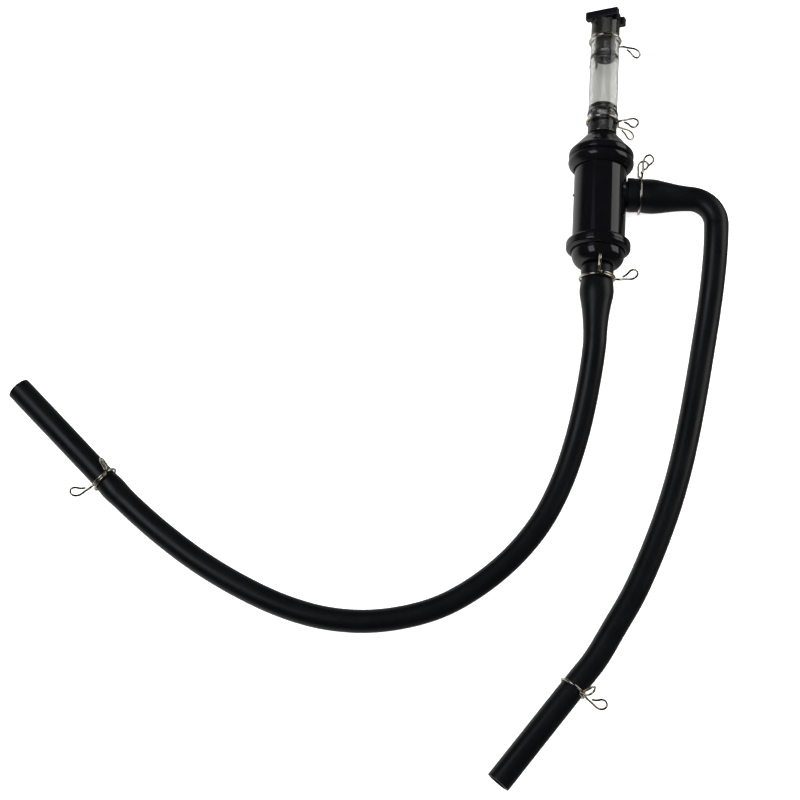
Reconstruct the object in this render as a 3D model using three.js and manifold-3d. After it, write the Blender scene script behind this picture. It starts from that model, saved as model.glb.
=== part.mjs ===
// Gravel vacuum siphon: a canister with a side outlet, a plugged sight tube, two moulded
// hoses and the wire spring clamps that hold them. Millimetres, +Z up. It lies on z = 0 with
// the canister's axis along +Y, and the origin is under the middle of everything but the hoses.
import * as THREE from 'three';
import { mergeVertices } from 'three/addons/utils/BufferGeometryUtils.js';
import Module from 'manifold-3d';

const wasm = await Module();
wasm.setup();

// ---- Clearances -----------------------------------------------------------------------
const FIT_GAP = 0.3; // between two pieces that touch
const CLAMP_GAP = 0.4; // between a clamp's wire and what it grips

// ---- Facets ---------------------------------------------------------------------------
const SIDES = 24; // round canister pieces
const SMALL_SIDES = 12; // holes and small round pieces
const HOSE_SIDES = 10;
const WIRE_SIDES = 6;

// ---- Barrel and its side port -----------------------------------------------------------
const BARREL_R = 17.8;
const BARREL_WALL = 2;
const BARREL_TOP = 33; // the canister's Y = 0 is the middle of the bare barrel
const BARREL_BOTTOM = -30;
const PORT_Y = 9.5;
const PORT_R = 9;
const PORT_BORE_R = 6.8;
const PORT_LENGTH = 22; // past the barrel's wall

// ---- Collars and seals ------------------------------------------------------------------
const TOP_COLLAR_LIFT = 4.8; // how far it stands out from the barrel
const TOP_COLLAR_HEIGHT = 8.2;
const BOTTOM_COLLAR_LIFT = 4;
const BOTTOM_COLLAR_HEIGHT = 8.2;
const BOTTOM_COLLAR_REACH = 3.8; // over the barrel's end
const COLLAR_CHAMFER = 2.6;
const SEAL_HEIGHT = 1;

// ---- Caps -------------------------------------------------------------------------------
const CAP_WALL = 2;
const TOP_FLANGE_LIFT = 4.4; // how far it stands out from the barrel
const TOP_FLANGE_HEIGHT = 4.2;
const TOP_DOME_HEIGHT = 14;
const SKIRT_DEPTH = 7;
const BOTTOM_FLANGE_HEIGHT = 4.4;
const BOTTOM_DOME_HEIGHT = 8.8;

// ---- Spigots: a barb's lift is how far it stands above the spigot ------------------------
const BARB_LIFT = 0.7;
const BARB_LENGTH = 3.5;
const TUBE_SPIGOT_BORE_R = 5.4;
const TUBE_SPIGOT_LENGTH = 23;
const HOSE_SPIGOT_R = 8.5;
const HOSE_SPIGOT_BORE_R = 6;
const HOSE_SPIGOT_LENGTH = 22;

// ---- Sight tube and stopper -------------------------------------------------------------
const TUBE_R = 10;
const TUBE_WALL = 2;
const TUBE_LENGTH = 88;
const STOPPER_PLUG_LENGTH = 12;
const STOPPER_LENGTH = 29;
const STOPPER_WAIST_R = 5;
const STOPPER_LIP = 2.2;
const STOPPER_BORE_R = 3.4;
const STOPPER_BORE_DEPTH = 24;
const HEAD_LENGTH = 24;
const HEAD_WIDTH = 19;
const HEAD_THICKNESS = 6;
const HEAD_BAR = 5.2; // width of each finger bar
const HEAD_HUB_R = 10.4;
const HEAD_TURN = 27; // degrees about the tube's axis

// ---- Non-return ball, its cage and the strainer -------------------------------------------
const BALL_R = 6.8;
const BALL_LIFT = 4;
const CAGE_PLATE = 2;
const CAGE_HOLE_R = 2.6;
const CAGE_HOLES = 8;
const STRAINER_R = 11;
const STRAINER_WALL = 1.4;
const STRAINER_HEIGHT = 42;
const SLOT_WIDTH = 2.4;
const SLOT_HEIGHT = 7;
const SLOT_ROWS = 3;
const SLOT_COLUMNS = 8;

// ---- Hoses ------------------------------------------------------------------------------
const HOSE_R = 8;
const HOSE_WALL = 2;
const HOSE_STEP = 16;
const CUFF_WALL = 2.3;
const SUCTION_CUFF_LENGTH = 47;
const PORT_CUFF_LENGTH = 43;
const ELBOW_R = 18; // bend of the outlet elbow, on its centre line
const ELBOW_LEAD_IN = 2; // of the bend's solid into the cuff's
const ELBOW_STEPS = 6;
const ELBOW_SIDES = 12;

// ---- Wire spring clamps -------------------------------------------------------------------
const WIRE_R = 0.7;
const STRAND_PITCH = 2 * WIRE_R + FIT_GAP;
const EAR_STEM = 12;
const EAR_LOOP_R = 3.4;
const CLAMP_STEPS = 56;
const TUBE_TOP_CLAMP_SET = 14.5; // from the tube's top end
const TUBE_BOTTOM_CLAMP_SET = 10; // from the tube's bottom end
const PORT_CLAMP_SET = 8.5; // from the end of the hose on its port

// ---- Routes of the free hoses, in canister coordinates: X and Y from its axis and middle, and
// Z up from the floor. The wire of an end clamp holds the last stretch just off the floor.
const SUCTION_ROUTE = [
  [0, -92.6, 22.4], [0, -98, 22.3], [-1, -112, 20.2], [-4, -137, 15], [-9, -164, 10.4],
  [-17, -192, 8.2], [-29, -219, 8.2], [-46, -243, 8.2], [-68, -264, 8.2], [-91, -279, 8.2],
  [-116, -288, 8.2], [-141, -292, 8.2], [-167, -291, 8.2], [-193, -285, 8.3],
  [-219, -275, 8.6], [-245, -262, 9.1], [-266, -249, 9.6], [-285, -235.5, 10],
  [-303, -221, 10], [-322, -203.9, 10], [-341, -186.8, 10], [-360, -169.7, 10],
  [-379, -152.6, 10],
];
const OUTLET_ROUTE = [
  [79.4, -9, 22.4], [79.4, -14, 22.3], [79.3, -24, 21.3], [78.6, -42, 18], [76.8, -66, 12.8],
  [73.5, -94, 9.2], [69.5, -123, 8.2], [65, -151, 8.2], [59.5, -179, 8.2], [52.5, -206, 8.2],
  [42.5, -236, 8.5], [31.5, -263, 9.2], [20, -285, 9.8], [8.4, -306.4, 10], [-3, -322.3, 10],
  [-14.5, -338.3, 10], [-26, -354.3, 10], [-37.5, -370.3, 10], [-49, -386.3, 10],
];
const SUCTION_CLAMP_FROM_END = 87.4;
const OUTLET_CLAMP_FROM_END = 75;

// ---- Sizes that follow from the ones above --------------------------------------------------
const TOP_COLLAR_R = BARREL_R + TOP_COLLAR_LIFT;
const BOTTOM_COLLAR_R = BARREL_R + BOTTOM_COLLAR_LIFT;
const TOP_FLANGE_R = BARREL_R + TOP_FLANGE_LIFT;
const AXIS_Z = TOP_COLLAR_R * Math.cos(Math.PI / SIDES);
const BARREL_BORE_R = BARREL_R - BARREL_WALL;
const SLEEVE_R = BARREL_BORE_R - FIT_GAP; // what slides into the barrel
const FLANGE_Y = BARREL_TOP + 2 * FIT_GAP + SEAL_HEIGHT; // underside of the top cap's flange
const TOP_SHOULDER_Y = FLANGE_Y + TOP_FLANGE_HEIGHT + TOP_DOME_HEIGHT;
const TUBE_BOTTOM = TOP_SHOULDER_Y + FIT_GAP;
const TUBE_TOP = TUBE_BOTTOM + TUBE_LENGTH;
const TUBE_BORE_R = TUBE_R - TUBE_WALL;
const TUBE_SPIGOT_R = TUBE_BORE_R - FIT_GAP;
const BOTTOM_FLANGE_Y = BARREL_BOTTOM - 2 * FIT_GAP - SEAL_HEIGHT;
const BOTTOM_SHOULDER_Y = BOTTOM_FLANGE_Y - BOTTOM_FLANGE_HEIGHT - BOTTOM_DOME_HEIGHT;
const HOSE_BORE_R = HOSE_R - HOSE_WALL;
const PORT_FACE_X = BARREL_R + 2 * FIT_GAP; // where the outlet hose stops, beside the barrel

const COLOURS = {
  gloss: { color: 0x0c0c0e, roughness: 0.2, metalness: 0 },
  rubber: { color: 0x101112, roughness: 0.5, metalness: 0 },
  clear: { color: 0xd4d6d0, roughness: 0.1, metalness: 0, transparent: true, opacity: 0.4 },
  wire: { color: 0xb8b09a, roughness: 0.25, metalness: 1 },
  seal: { color: 0x1a1a1a, roughness: 0.7, metalness: 0 },
  inner: { color: 0x3a4a55, roughness: 0.5, metalness: 0 },
  ball: { color: 0xe8e4d8, roughness: 0.3, metalness: 0 },
};

// ---- Geometry helpers -----------------------------------------------------------------------

/** A closed geometry with shared vertices, turned so that its faces point outwards. */
function closed(geometry) {
  const bare = geometry.clone();
  bare.deleteAttribute('normal');
  bare.deleteAttribute('uv');
  const merged = mergeVertices(bare, 1e-4);
  const at = (i) => new THREE.Vector3().fromBufferAttribute(merged.attributes.position, i);
  const index = merged.index.array;
  let volume = 0;
  for (let i = 0; i < index.length; i += 3) {
    volume += at(index[i]).dot(at(index[i + 1]).cross(at(index[i + 2])));
  }
  if (volume < 0) {
    for (let i = 0; i < index.length; i += 3) {
      [index[i + 1], index[i + 2]] = [index[i + 2], index[i + 1]];
    }
  }
  return merged;
}

/** A closed geometry as a solid for booleans. */
function solid(geometry) {
  const shape = closed(geometry);
  return new wasm.Manifold(new wasm.Mesh({
    numProp: 3,
    vertProperties: new Float32Array(shape.attributes.position.array),
    triVerts: new Uint32Array(shape.index.array),
  }));
}

/** The geometry of a solid. */
function geometryOf(body) {
  const { vertProperties, triVerts } = body.getMesh();
  const geometry = new THREE.BufferGeometry();
  geometry.setAttribute('position', new THREE.BufferAttribute(vertProperties, 3));
  geometry.setIndex(new THREE.BufferAttribute(triVerts, 1));
  return geometry;
}

/** A ring or disc about Y from a profile of [radius, y], with a flat facet towards the floor. */
function turned(profile, sides = SIDES) {
  const points = profile.map(([r, y]) => new THREE.Vector2(r, y));
  if (points[0].x > 0 || points.at(-1).x > 0) points.push(points[0].clone());
  return closed(new THREE.LatheGeometry(points, sides, Math.PI / sides));
}

/** The quarter-round points from one profile point to another, bulging along the first's radius. */
function roundTo([r0, y0], [r1, y1], steps) {
  const points = [];
  for (let i = 0; i <= steps; i += 1) {
    const turn = (i / steps) * Math.PI / 2;
    points.push([r1 + (r0 - r1) * Math.cos(turn), y0 + (y1 - y0) * Math.sin(turn)]);
  }
  return points;
}

/** A regular polygon, or a ring of two when it has a bore. */
function section(radius, sides, boreRadius = 0) {
  const ring = (r) => Array.from({ length: sides }, (_, i) => {
    const turn = ((i + 0.5) / sides) * 2 * Math.PI;
    return new THREE.Vector2(r * Math.cos(turn), r * Math.sin(turn));
  });
  const shape = new THREE.Shape(ring(radius));
  if (boreRadius > 0) shape.holes.push(new THREE.Path(ring(boreRadius).reverse()));
  return shape;
}

/** A round bar or tube along a curve. */
function swept(curve, steps, radius, sides, boreRadius = 0) {
  const options = { steps, bevelEnabled: false, extrudePath: curve };
  return closed(new THREE.ExtrudeGeometry(section(radius, sides, boreRadius), options));
}

/** A round bar along +Y from y0 to y1. */
function rod(radius, y0, y1, sides = SMALL_SIDES) {
  return turned([[0, y0], [radius, y0], [radius, y1], [0, y1]], sides);
}

function mesh(name, geometry, look) {
  const piece = new THREE.Mesh(geometry, new THREE.MeshStandardMaterial(COLOURS[look]));
  piece.name = name;
  return piece;
}

// ---- Canister -------------------------------------------------------------------------------

/** The side of a spigot of the given radius that ends at y, with a barb behind its rounded nose. */
function spigotSide(radius, y, out) {
  return [
    [radius, y - out * (BARB_LENGTH + 5)],
    [radius + BARB_LIFT, y - out * (BARB_LENGTH + 4)],
    [radius + BARB_LIFT, y - out * (BARB_LENGTH + 3)],
    [radius, y - out * 4],
    [radius, y - out],
    [radius - 0.8, y],
  ];
}

function barrel() {
  const shell = solid(rod(BARREL_R, BARREL_BOTTOM, BARREL_TOP, SIDES));
  const inside = solid(rod(BARREL_BORE_R, BARREL_BOTTOM - 1, BARREL_TOP + 1, SIDES));
  const tip = BARREL_R + PORT_LENGTH;
  const port = turned([[0, BARREL_BORE_R - 2], [PORT_R, BARREL_BORE_R - 2],
    ...spigotSide(PORT_R, tip, 1), [0, tip]]);
  const bore = rod(PORT_BORE_R, 0, tip + 1, SIDES);
  const [outer, hole] = [port, bore].map((g) => solid(g.rotateZ(-Math.PI / 2).translate(0, PORT_Y, 0)));
  return mesh('barrel', geometryOf(shell.add(outer).subtract(inside).subtract(hole)), 'gloss');
}

function topCap() {
  const domeFoot = FLANGE_Y + TOP_FLANGE_HEIGHT;
  const tip = TOP_SHOULDER_Y + TUBE_SPIGOT_LENGTH;
  const skirtR = SLEEVE_R - CAP_WALL;
  return mesh('top_cap', turned([
    [skirtR, FLANGE_Y - SKIRT_DEPTH], [SLEEVE_R, FLANGE_Y - SKIRT_DEPTH], [SLEEVE_R, FLANGE_Y],
    [TOP_FLANGE_R, FLANGE_Y], [TOP_FLANGE_R, domeFoot - 0.6], [TOP_FLANGE_R - 0.8, domeFoot + 0.5],
    [TUBE_R + (TOP_FLANGE_R - TUBE_R) * 0.7, domeFoot + TOP_DOME_HEIGHT * 0.32],
    [TUBE_R + (TOP_FLANGE_R - TUBE_R) * 0.4, domeFoot + TOP_DOME_HEIGHT * 0.64],
    [TUBE_R + (TOP_FLANGE_R - TUBE_R) * 0.14, domeFoot + TOP_DOME_HEIGHT * 0.9],
    [TUBE_R, TOP_SHOULDER_Y], [TUBE_SPIGOT_R, TOP_SHOULDER_Y],
    ...spigotSide(TUBE_SPIGOT_R, tip, 1),
    [TUBE_SPIGOT_BORE_R, tip], [TUBE_SPIGOT_BORE_R, TOP_SHOULDER_Y - CAP_WALL],
    [skirtR, domeFoot],
  ]), 'gloss');
}

function topCollar() {
  const top = BARREL_TOP + SEAL_HEIGHT + FIT_GAP;
  const bottom = top - TOP_COLLAR_HEIGHT;
  const bore = BARREL_R + FIT_GAP;
  return mesh('top_collar', turned([
    [bore, bottom], [TOP_COLLAR_R - COLLAR_CHAMFER, bottom],
    [TOP_COLLAR_R - 0.5, bottom + COLLAR_CHAMFER], [TOP_COLLAR_R, bottom + COLLAR_CHAMFER + 1],
    [TOP_COLLAR_R, top - 0.8], [TOP_COLLAR_R - 0.8, top], [bore, top],
  ]), 'gloss');
}

function bottomCap() {
  const domeTop = BOTTOM_FLANGE_Y - BOTTOM_FLANGE_HEIGHT;
  const tip = BOTTOM_SHOULDER_Y - HOSE_SPIGOT_LENGTH;
  const seatY = BOTTOM_SHOULDER_Y + CAP_WALL;
  const neckR = HOSE_SPIGOT_R + FIT_GAP + 2;
  return mesh('bottom_cap', turned([
    [SLEEVE_R - CAP_WALL, BOTTOM_FLANGE_Y], [BARREL_R, BOTTOM_FLANGE_Y],
    ...roundTo([BARREL_R, domeTop], [neckR, BOTTOM_SHOULDER_Y], 5),
    [HOSE_SPIGOT_R, BOTTOM_SHOULDER_Y],
    ...spigotSide(HOSE_SPIGOT_R, tip, -1),
    [HOSE_SPIGOT_BORE_R, tip], [HOSE_SPIGOT_BORE_R, seatY],
    [HOSE_SPIGOT_BORE_R + 1.6, seatY + 1], [SLEEVE_R - CAP_WALL, domeTop],
  ]), 'gloss');
}

function bottomCollar() {
  const top = BARREL_BOTTOM + BOTTOM_COLLAR_REACH;
  const bottom = top - BOTTOM_COLLAR_HEIGHT;
  const bore = BARREL_R + FIT_GAP;
  return mesh('bottom_collar', turned([
    [bore, bottom], [BOTTOM_COLLAR_R - COLLAR_CHAMFER, bottom],
    [BOTTOM_COLLAR_R - 0.5, bottom + 1.2], [BOTTOM_COLLAR_R, bottom + 2],
    [BOTTOM_COLLAR_R, top - 2], [BOTTOM_COLLAR_R - 0.5, top - 1.2],
    [BOTTOM_COLLAR_R - COLLAR_CHAMFER, top], [bore, top],
  ]), 'gloss');
}

/** A flat sealing ring against one end of the barrel. */
function seal(name, endY, out) {
  const [near, far] = [endY + out * FIT_GAP, endY + out * (FIT_GAP + SEAL_HEIGHT)];
  return mesh(name, turned([[BARREL_BORE_R, near], [BARREL_R, near], [BARREL_R, far],
    [BARREL_BORE_R, far]]), 'seal');
}

// ---- Inside the canister ----------------------------------------------------------------------

const SEAT_Y = BOTTOM_SHOULDER_Y + CAP_WALL;
const BALL_Y = SEAT_Y + Math.sqrt(BALL_R ** 2 - HOSE_SPIGOT_BORE_R ** 2) + FIT_GAP + 0.6;
const CAGE_Y = BALL_Y + BALL_R + BALL_LIFT + FIT_GAP; // underside of the cage's plate

function checkBall() {
  const ball = new THREE.SphereGeometry(BALL_R, SMALL_SIDES + 4, SMALL_SIDES);
  return mesh('check_ball', closed(ball).translate(0, BALL_Y, 0), 'ball');
}

/** A perforated plate on a rim that stands on the bottom cap's flange. */
function ballCage() {
  const foot = BOTTOM_FLANGE_Y + FIT_GAP;
  const top = CAGE_Y + CAGE_PLATE;
  const rimR = SLEEVE_R - 1.6;
  let body = solid(turned([[0, CAGE_Y], [rimR, CAGE_Y], [rimR, foot], [SLEEVE_R, foot],
    [SLEEVE_R, top], [0, top]]));
  for (let i = 0; i < CAGE_HOLES; i += 1) {
    const turn = (i / CAGE_HOLES) * 2 * Math.PI;
    const hole = rod(CAGE_HOLE_R, CAGE_Y - 1, top + 1);
    hole.translate(rimR * 0.7 * Math.cos(turn), 0, rimR * 0.7 * Math.sin(turn));
    body = body.subtract(solid(hole));
  }
  return mesh('ball_cage', geometryOf(body), 'inner');
}

/** A slotted cup standing mouth down on the cage, with a foot that fits the barrel. */
function strainer() {
  const foot = CAGE_Y + CAGE_PLATE + FIT_GAP;
  const top = foot + STRAINER_HEIGHT;
  const boreR = STRAINER_R - STRAINER_WALL;
  let body = solid(turned([[0, top - STRAINER_WALL], [boreR, top - STRAINER_WALL], [boreR, foot],
    [SLEEVE_R, foot], [SLEEVE_R, foot + STRAINER_WALL], [STRAINER_R, foot + STRAINER_WALL],
    [STRAINER_R, top], [0, top]]));
  const pitch = (STRAINER_HEIGHT - 2 * STRAINER_WALL) / SLOT_ROWS;
  for (let row = 0; row < SLOT_ROWS; row += 1) {
    for (let column = 0; column < SLOT_COLUMNS / 2; column += 1) {
      const slot = new THREE.BoxGeometry(SLOT_WIDTH, SLOT_HEIGHT, 3 * STRAINER_R);
      slot.rotateY((column / SLOT_COLUMNS) * 2 * Math.PI);
      slot.translate(0, foot + STRAINER_WALL + pitch * (row + 0.5), 0);
      body = body.subtract(solid(slot));
    }
  }
  return mesh('strainer', geometryOf(body), 'inner');
}

// ---- Sight tube and stopper ---------------------------------------------------------------------

function sightTube() {
  const spigotTip = TOP_SHOULDER_Y + TUBE_SPIGOT_LENGTH;
  const swell = [
    [0, spigotTip], [BARB_LIFT, spigotTip - 3], [BARB_LIFT + 0.2, spigotTip - 8.6],
    [0, spigotTip - 11],
  ];
  return mesh('sight_tube', turned([
    [TUBE_BORE_R, TUBE_BOTTOM], [TUBE_R, TUBE_BOTTOM],
    ...swell.map(([lift, y]) => [TUBE_R + lift, y]).reverse(),
    [TUBE_R, TUBE_TOP], [TUBE_BORE_R, TUBE_TOP],
    ...swell.map(([lift, y]) => [TUBE_BORE_R + lift, y]),
  ]), 'clear');
}

/** The head's outline: two finger bars joined by a round hub. */
function headOutline() {
  const [x, z, notch] = [HEAD_LENGTH / 2, HEAD_WIDTH / 2, HEAD_WIDTH / 2 - HEAD_BAR];
  const swing = Math.asin(notch / HEAD_HUB_R);
  const shape = new THREE.Shape();
  shape.moveTo(x, -z);
  shape.lineTo(x, -notch);
  shape.absarc(0, 0, HEAD_HUB_R, -swing, swing, false);
  shape.lineTo(x, notch);
  shape.lineTo(x, z);
  shape.lineTo(-x, z);
  shape.lineTo(-x, notch);
  shape.absarc(0, 0, HEAD_HUB_R, Math.PI - swing, Math.PI + swing, false);
  shape.lineTo(-x, -notch);
  shape.lineTo(-x, -z);
  return shape;
}

function stopper() {
  const plugR = TUBE_BORE_R - FIT_GAP;
  const headY = TUBE_TOP + FIT_GAP;
  const end = TUBE_TOP - STOPPER_LENGTH;
  const plugEnd = TUBE_TOP - STOPPER_PLUG_LENGTH;
  const body = solid(turned([
    [0, headY + 1], [plugR, headY + 1], [plugR, plugEnd + 1], [plugR - 0.8, plugEnd],
    [STOPPER_WAIST_R, plugEnd - 0.8], [STOPPER_WAIST_R, end + STOPPER_LIP],
    [plugR, end + STOPPER_LIP - 0.4], [plugR, end + 0.4], [plugR - 0.4, end], [0, end],
  ]));
  const plate = new THREE.ExtrudeGeometry(headOutline(), {
    depth: HEAD_THICKNESS, curveSegments: 4, bevelEnabled: false,
  });
  plate.rotateX(-Math.PI / 2).rotateY(THREE.MathUtils.degToRad(-HEAD_TURN)).translate(0, headY, 0);
  const bore = solid(rod(STOPPER_BORE_R, end - 1, end + STOPPER_BORE_DEPTH));
  return mesh('stopper', geometryOf(body.add(solid(plate)).subtract(bore)), 'gloss');
}

// ---- Hoses ------------------------------------------------------------------------------------

/** A hose end's side, from its root at y = 0: round the clamp's neck, over the barb and down. */
function cuffSide(rootR, barbY, length) {
  const neck = PORT_CLAMP_SET;
  return [
    [rootR, 0.4], [rootR, neck - 3], [rootR - 0.3, neck - 1.6], [rootR - 0.3, neck + 1.6],
    [rootR + BARB_LIFT, barbY - 2], [rootR + BARB_LIFT, barbY + 2],
    [rootR - 0.3, barbY + 8], [HOSE_R + (rootR - HOSE_R) * 0.3, barbY + 18],
    [HOSE_R + 0.1, Math.max(barbY + 24, length - 4)], [HOSE_R, length],
  ];
}

/** A hollow hose end about +Y, with its bore FIT_GAP clear of a spigot of the given length. */
function cuff(spigotR, spigotLength, length) {
  const boreR = spigotR + FIT_GAP;
  const barbY = spigotLength - BARB_LENGTH - 3.5;
  return turned([
    [boreR, 0], [boreR + CUFF_WALL - 0.4, 0],
    ...cuffSide(boreR + CUFF_WALL, barbY, length),
    [HOSE_BORE_R, length], [HOSE_BORE_R, spigotLength + 6],
    [boreR, spigotLength + 1], [boreR, barbY + 4.5], [boreR + BARB_LIFT, barbY + 1.5],
    [boreR + BARB_LIFT, barbY - 2.5], [boreR, barbY - 3.5],
  ]);
}

function suctionHoseCuff() {
  const piece = cuff(HOSE_SPIGOT_R, HOSE_SPIGOT_LENGTH - FIT_GAP, SUCTION_CUFF_LENGTH);
  piece.rotateX(Math.PI).translate(0, BOTTOM_SHOULDER_Y - FIT_GAP, 0);
  return mesh('suction_hose_cuff', piece, 'rubber');
}

/** A right-angle bend to the right from a short straight lead-in, in the plane of X and Y. */
class Elbow extends THREE.Curve {
  constructor(startX, startY, radius, leadIn) {
    super();
    Object.assign(this, { startX, startY, radius, leadIn });
  }

  getPoint(t, target = new THREE.Vector3()) {
    const along = t * (this.leadIn + (this.radius * Math.PI) / 2) - this.leadIn;
    if (along <= 0) return target.set(this.startX + along, this.startY, 0);
    const turn = along / this.radius;
    const drop = this.radius * (1 - Math.cos(turn));
    return target.set(this.startX + this.radius * Math.sin(turn), this.startY - drop, 0);
  }
}

/** The outlet hose's stiff moulded end: a cuff on the side port and a right-angle elbow. */
function outletHoseElbow() {
  const straight = cuff(PORT_R, PORT_LENGTH - 2 * FIT_GAP, PORT_CUFF_LENGTH);
  straight.rotateZ(-Math.PI / 2).translate(PORT_FACE_X, PORT_Y, 0);
  const bend = new Elbow(PORT_FACE_X + PORT_CUFF_LENGTH, PORT_Y, ELBOW_R, ELBOW_LEAD_IN);
  const [outer, bore] = [HOSE_R, HOSE_BORE_R].map((r) =>
    solid(swept(bend, ELBOW_STEPS, r, ELBOW_SIDES)));
  return mesh('outlet_hose_elbow', geometryOf(solid(straight).add(outer).subtract(bore)), 'rubber');
}

function routeCurve(points) {
  const knots = points.map(([x, y, z]) => new THREE.Vector3(x, y, z));
  return new THREE.CatmullRomCurve3(knots, false, 'centripetal');
}

function hose(name, points) {
  const curve = routeCurve(points);
  const steps = Math.round(curve.getLength() / HOSE_STEP);
  return mesh(name, swept(curve, steps, HOSE_R, HOSE_SIDES, HOSE_BORE_R), 'rubber');
}

// ---- Clamps -------------------------------------------------------------------------------------

/** An ear's points in its own plane: along the stem, round the loop and back to the stem. */
function earPoints() {
  const [r, gap] = [EAR_LOOP_R, 2 * WIRE_R + FIT_GAP];
  return [
    [2.4, 0], [EAR_STEM * 0.5, 0], [EAR_STEM, 0.1], [EAR_STEM + r * 0.8, r * 0.55],
    [EAR_STEM + r, r * 1.25], [EAR_STEM + r * 0.35, r * 1.95], [EAR_STEM - r * 0.4, r * 1.8],
    [EAR_STEM * 0.7, r * 1.1], [EAR_STEM * 0.54, gap],
  ];
}

/**
 * One clamp's wire, about the local Z axis: an ear, a turn and a bit around, and an ear.
 * from and to are the ears' angles in degrees, and side is the way that the loops point along Z.
 * lean tips the first ear along Z, in degrees.
 */
function clamp(name, radius, { from, to, side, lean = 0 }) {
  const ringR = radius + CLAMP_GAP + WIRE_R;
  const [a, b] = [from, to + 360].map(THREE.MathUtils.degToRad);
  const ear = (angle, z, bank) => {
    const out = new THREE.Vector3(Math.cos(angle), Math.sin(angle), 0);
    const up = new THREE.Vector3(0, 0, side);
    const tip = THREE.MathUtils.degToRad(bank);
    return earPoints().map(([u, v]) => new THREE.Vector3(0, 0, z)
      .addScaledVector(out, ringR + u * Math.cos(tip) - v * Math.sin(tip))
      .addScaledVector(up, u * Math.sin(tip) + v * Math.cos(tip)));
  };
  const ring = [];
  const ringSteps = 22;
  const [first, last] = [a + 0.16, b - 0.16];
  for (let i = 0; i <= ringSteps; i += 1) {
    const turn = first + (last - first) * (i / ringSteps);
    const z = STRAND_PITCH * ((turn - a) / (2 * Math.PI) - 0.55) * side;
    ring.push(new THREE.Vector3(ringR * Math.cos(turn), ringR * Math.sin(turn), z));
  }
  const points = [...ear(a, ring[0].z, lean).reverse(), ...ring, ...ear(b, ring.at(-1).z, 0)];
  const curve = new THREE.CatmullRomCurve3(points, false, 'centripetal');
  return mesh(name, swept(curve, CLAMP_STEPS, WIRE_R, WIRE_SIDES), 'wire');
}

/** Puts a clamp at a point with its local Z along axis and its local Y as near up as that allows. */
function place(piece, point, axis) {
  const z = axis.clone().normalize();
  const x = new THREE.Vector3(0, 0, 1).cross(z).normalize();
  const y = z.clone().cross(x);
  piece.quaternion.setFromRotationMatrix(new THREE.Matrix4().makeBasis(x, y, z));
  piece.position.copy(point);
  return piece;
}

/** Puts a clamp on a hose's straight end stretch, at a distance from its free end. */
function placeOnEnd(piece, route, distance) {
  const [before, end] = route.slice(-2).map((p) => new THREE.Vector3(...p));
  const back = before.sub(end).normalize();
  return place(piece, end.addScaledVector(back, distance), back);
}

// ---- Assembly -----------------------------------------------------------------------------------

const siphon = new THREE.Group();
const canister = new THREE.Group();
canister.position.z = AXIS_Z;
siphon.add(canister);

const downY = new THREE.Vector3(0, -1, 0);
const alongX = new THREE.Vector3(1, 0, 0);
canister.add(
  barrel(), topCap(), topCollar(), bottomCap(), bottomCollar(),
  seal('top_seal', BARREL_TOP, 1), seal('bottom_seal', BARREL_BOTTOM, -1),
  checkBall(), ballCage(), strainer(), sightTube(), stopper(),
  place(clamp('tube_top_clamp', TUBE_R, { from: -112, to: -30, side: 1, lean: 38 }),
    new THREE.Vector3(0, TUBE_TOP - TUBE_TOP_CLAMP_SET, 0), downY),
  place(clamp('tube_bottom_clamp', TUBE_R, { from: -28, to: 28, side: 1 }),
    new THREE.Vector3(0, TUBE_BOTTOM + TUBE_BOTTOM_CLAMP_SET, 0), downY),
  place(clamp('bottom_port_clamp', HOSE_SPIGOT_R + FIT_GAP + CUFF_WALL, { from: 15, to: 92, side: -1 }),
    new THREE.Vector3(0, BOTTOM_SHOULDER_Y - FIT_GAP - PORT_CLAMP_SET, 0), downY),
  place(clamp('side_port_clamp', PORT_R + FIT_GAP + CUFF_WALL, { from: -6, to: 25, side: 1 }),
    new THREE.Vector3(PORT_FACE_X + PORT_CLAMP_SET, PORT_Y, 0), alongX),
);

const cords = new THREE.Group();
siphon.add(cords);
const ends = new THREE.Group();
ends.position.z = AXIS_Z;
ends.add(suctionHoseCuff(), outletHoseElbow());
cords.add(
  ends,
  hose('suction_hose', SUCTION_ROUTE),
  hose('outlet_hose', OUTLET_ROUTE),
  placeOnEnd(clamp('suction_end_clamp', HOSE_R, { from: 75, to: 158, side: -1 }),
    SUCTION_ROUTE, SUCTION_CLAMP_FROM_END),
  placeOnEnd(clamp('outlet_end_clamp', HOSE_R, { from: 118, to: 195, side: 1 }),
    OUTLET_ROUTE, OUTLET_CLAMP_FROM_END),
);

// The origin goes under the middle of what isn't a hose or on one.
canister.updateWorldMatrix(true, true);
const middle = new THREE.Box3().setFromObject(canister).getCenter(new THREE.Vector3());
siphon.position.set(-middle.x, -middle.y, 0);

export default siphon;
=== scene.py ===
"""Looks of the gravel vacuum siphon: a gloss canister, its clear sight tube, rubber hoses and spring clamps.

Sizes are in millimetres until a mesh is made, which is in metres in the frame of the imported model.
Canister coordinates have X and Y from the canister's axis and middle, and Z up from the floor.
"""

from __future__ import annotations

import logging
import math
from dataclasses import dataclass, field
from enum import Enum
from itertools import accumulate
from typing import Any, Iterable, Sequence

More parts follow.
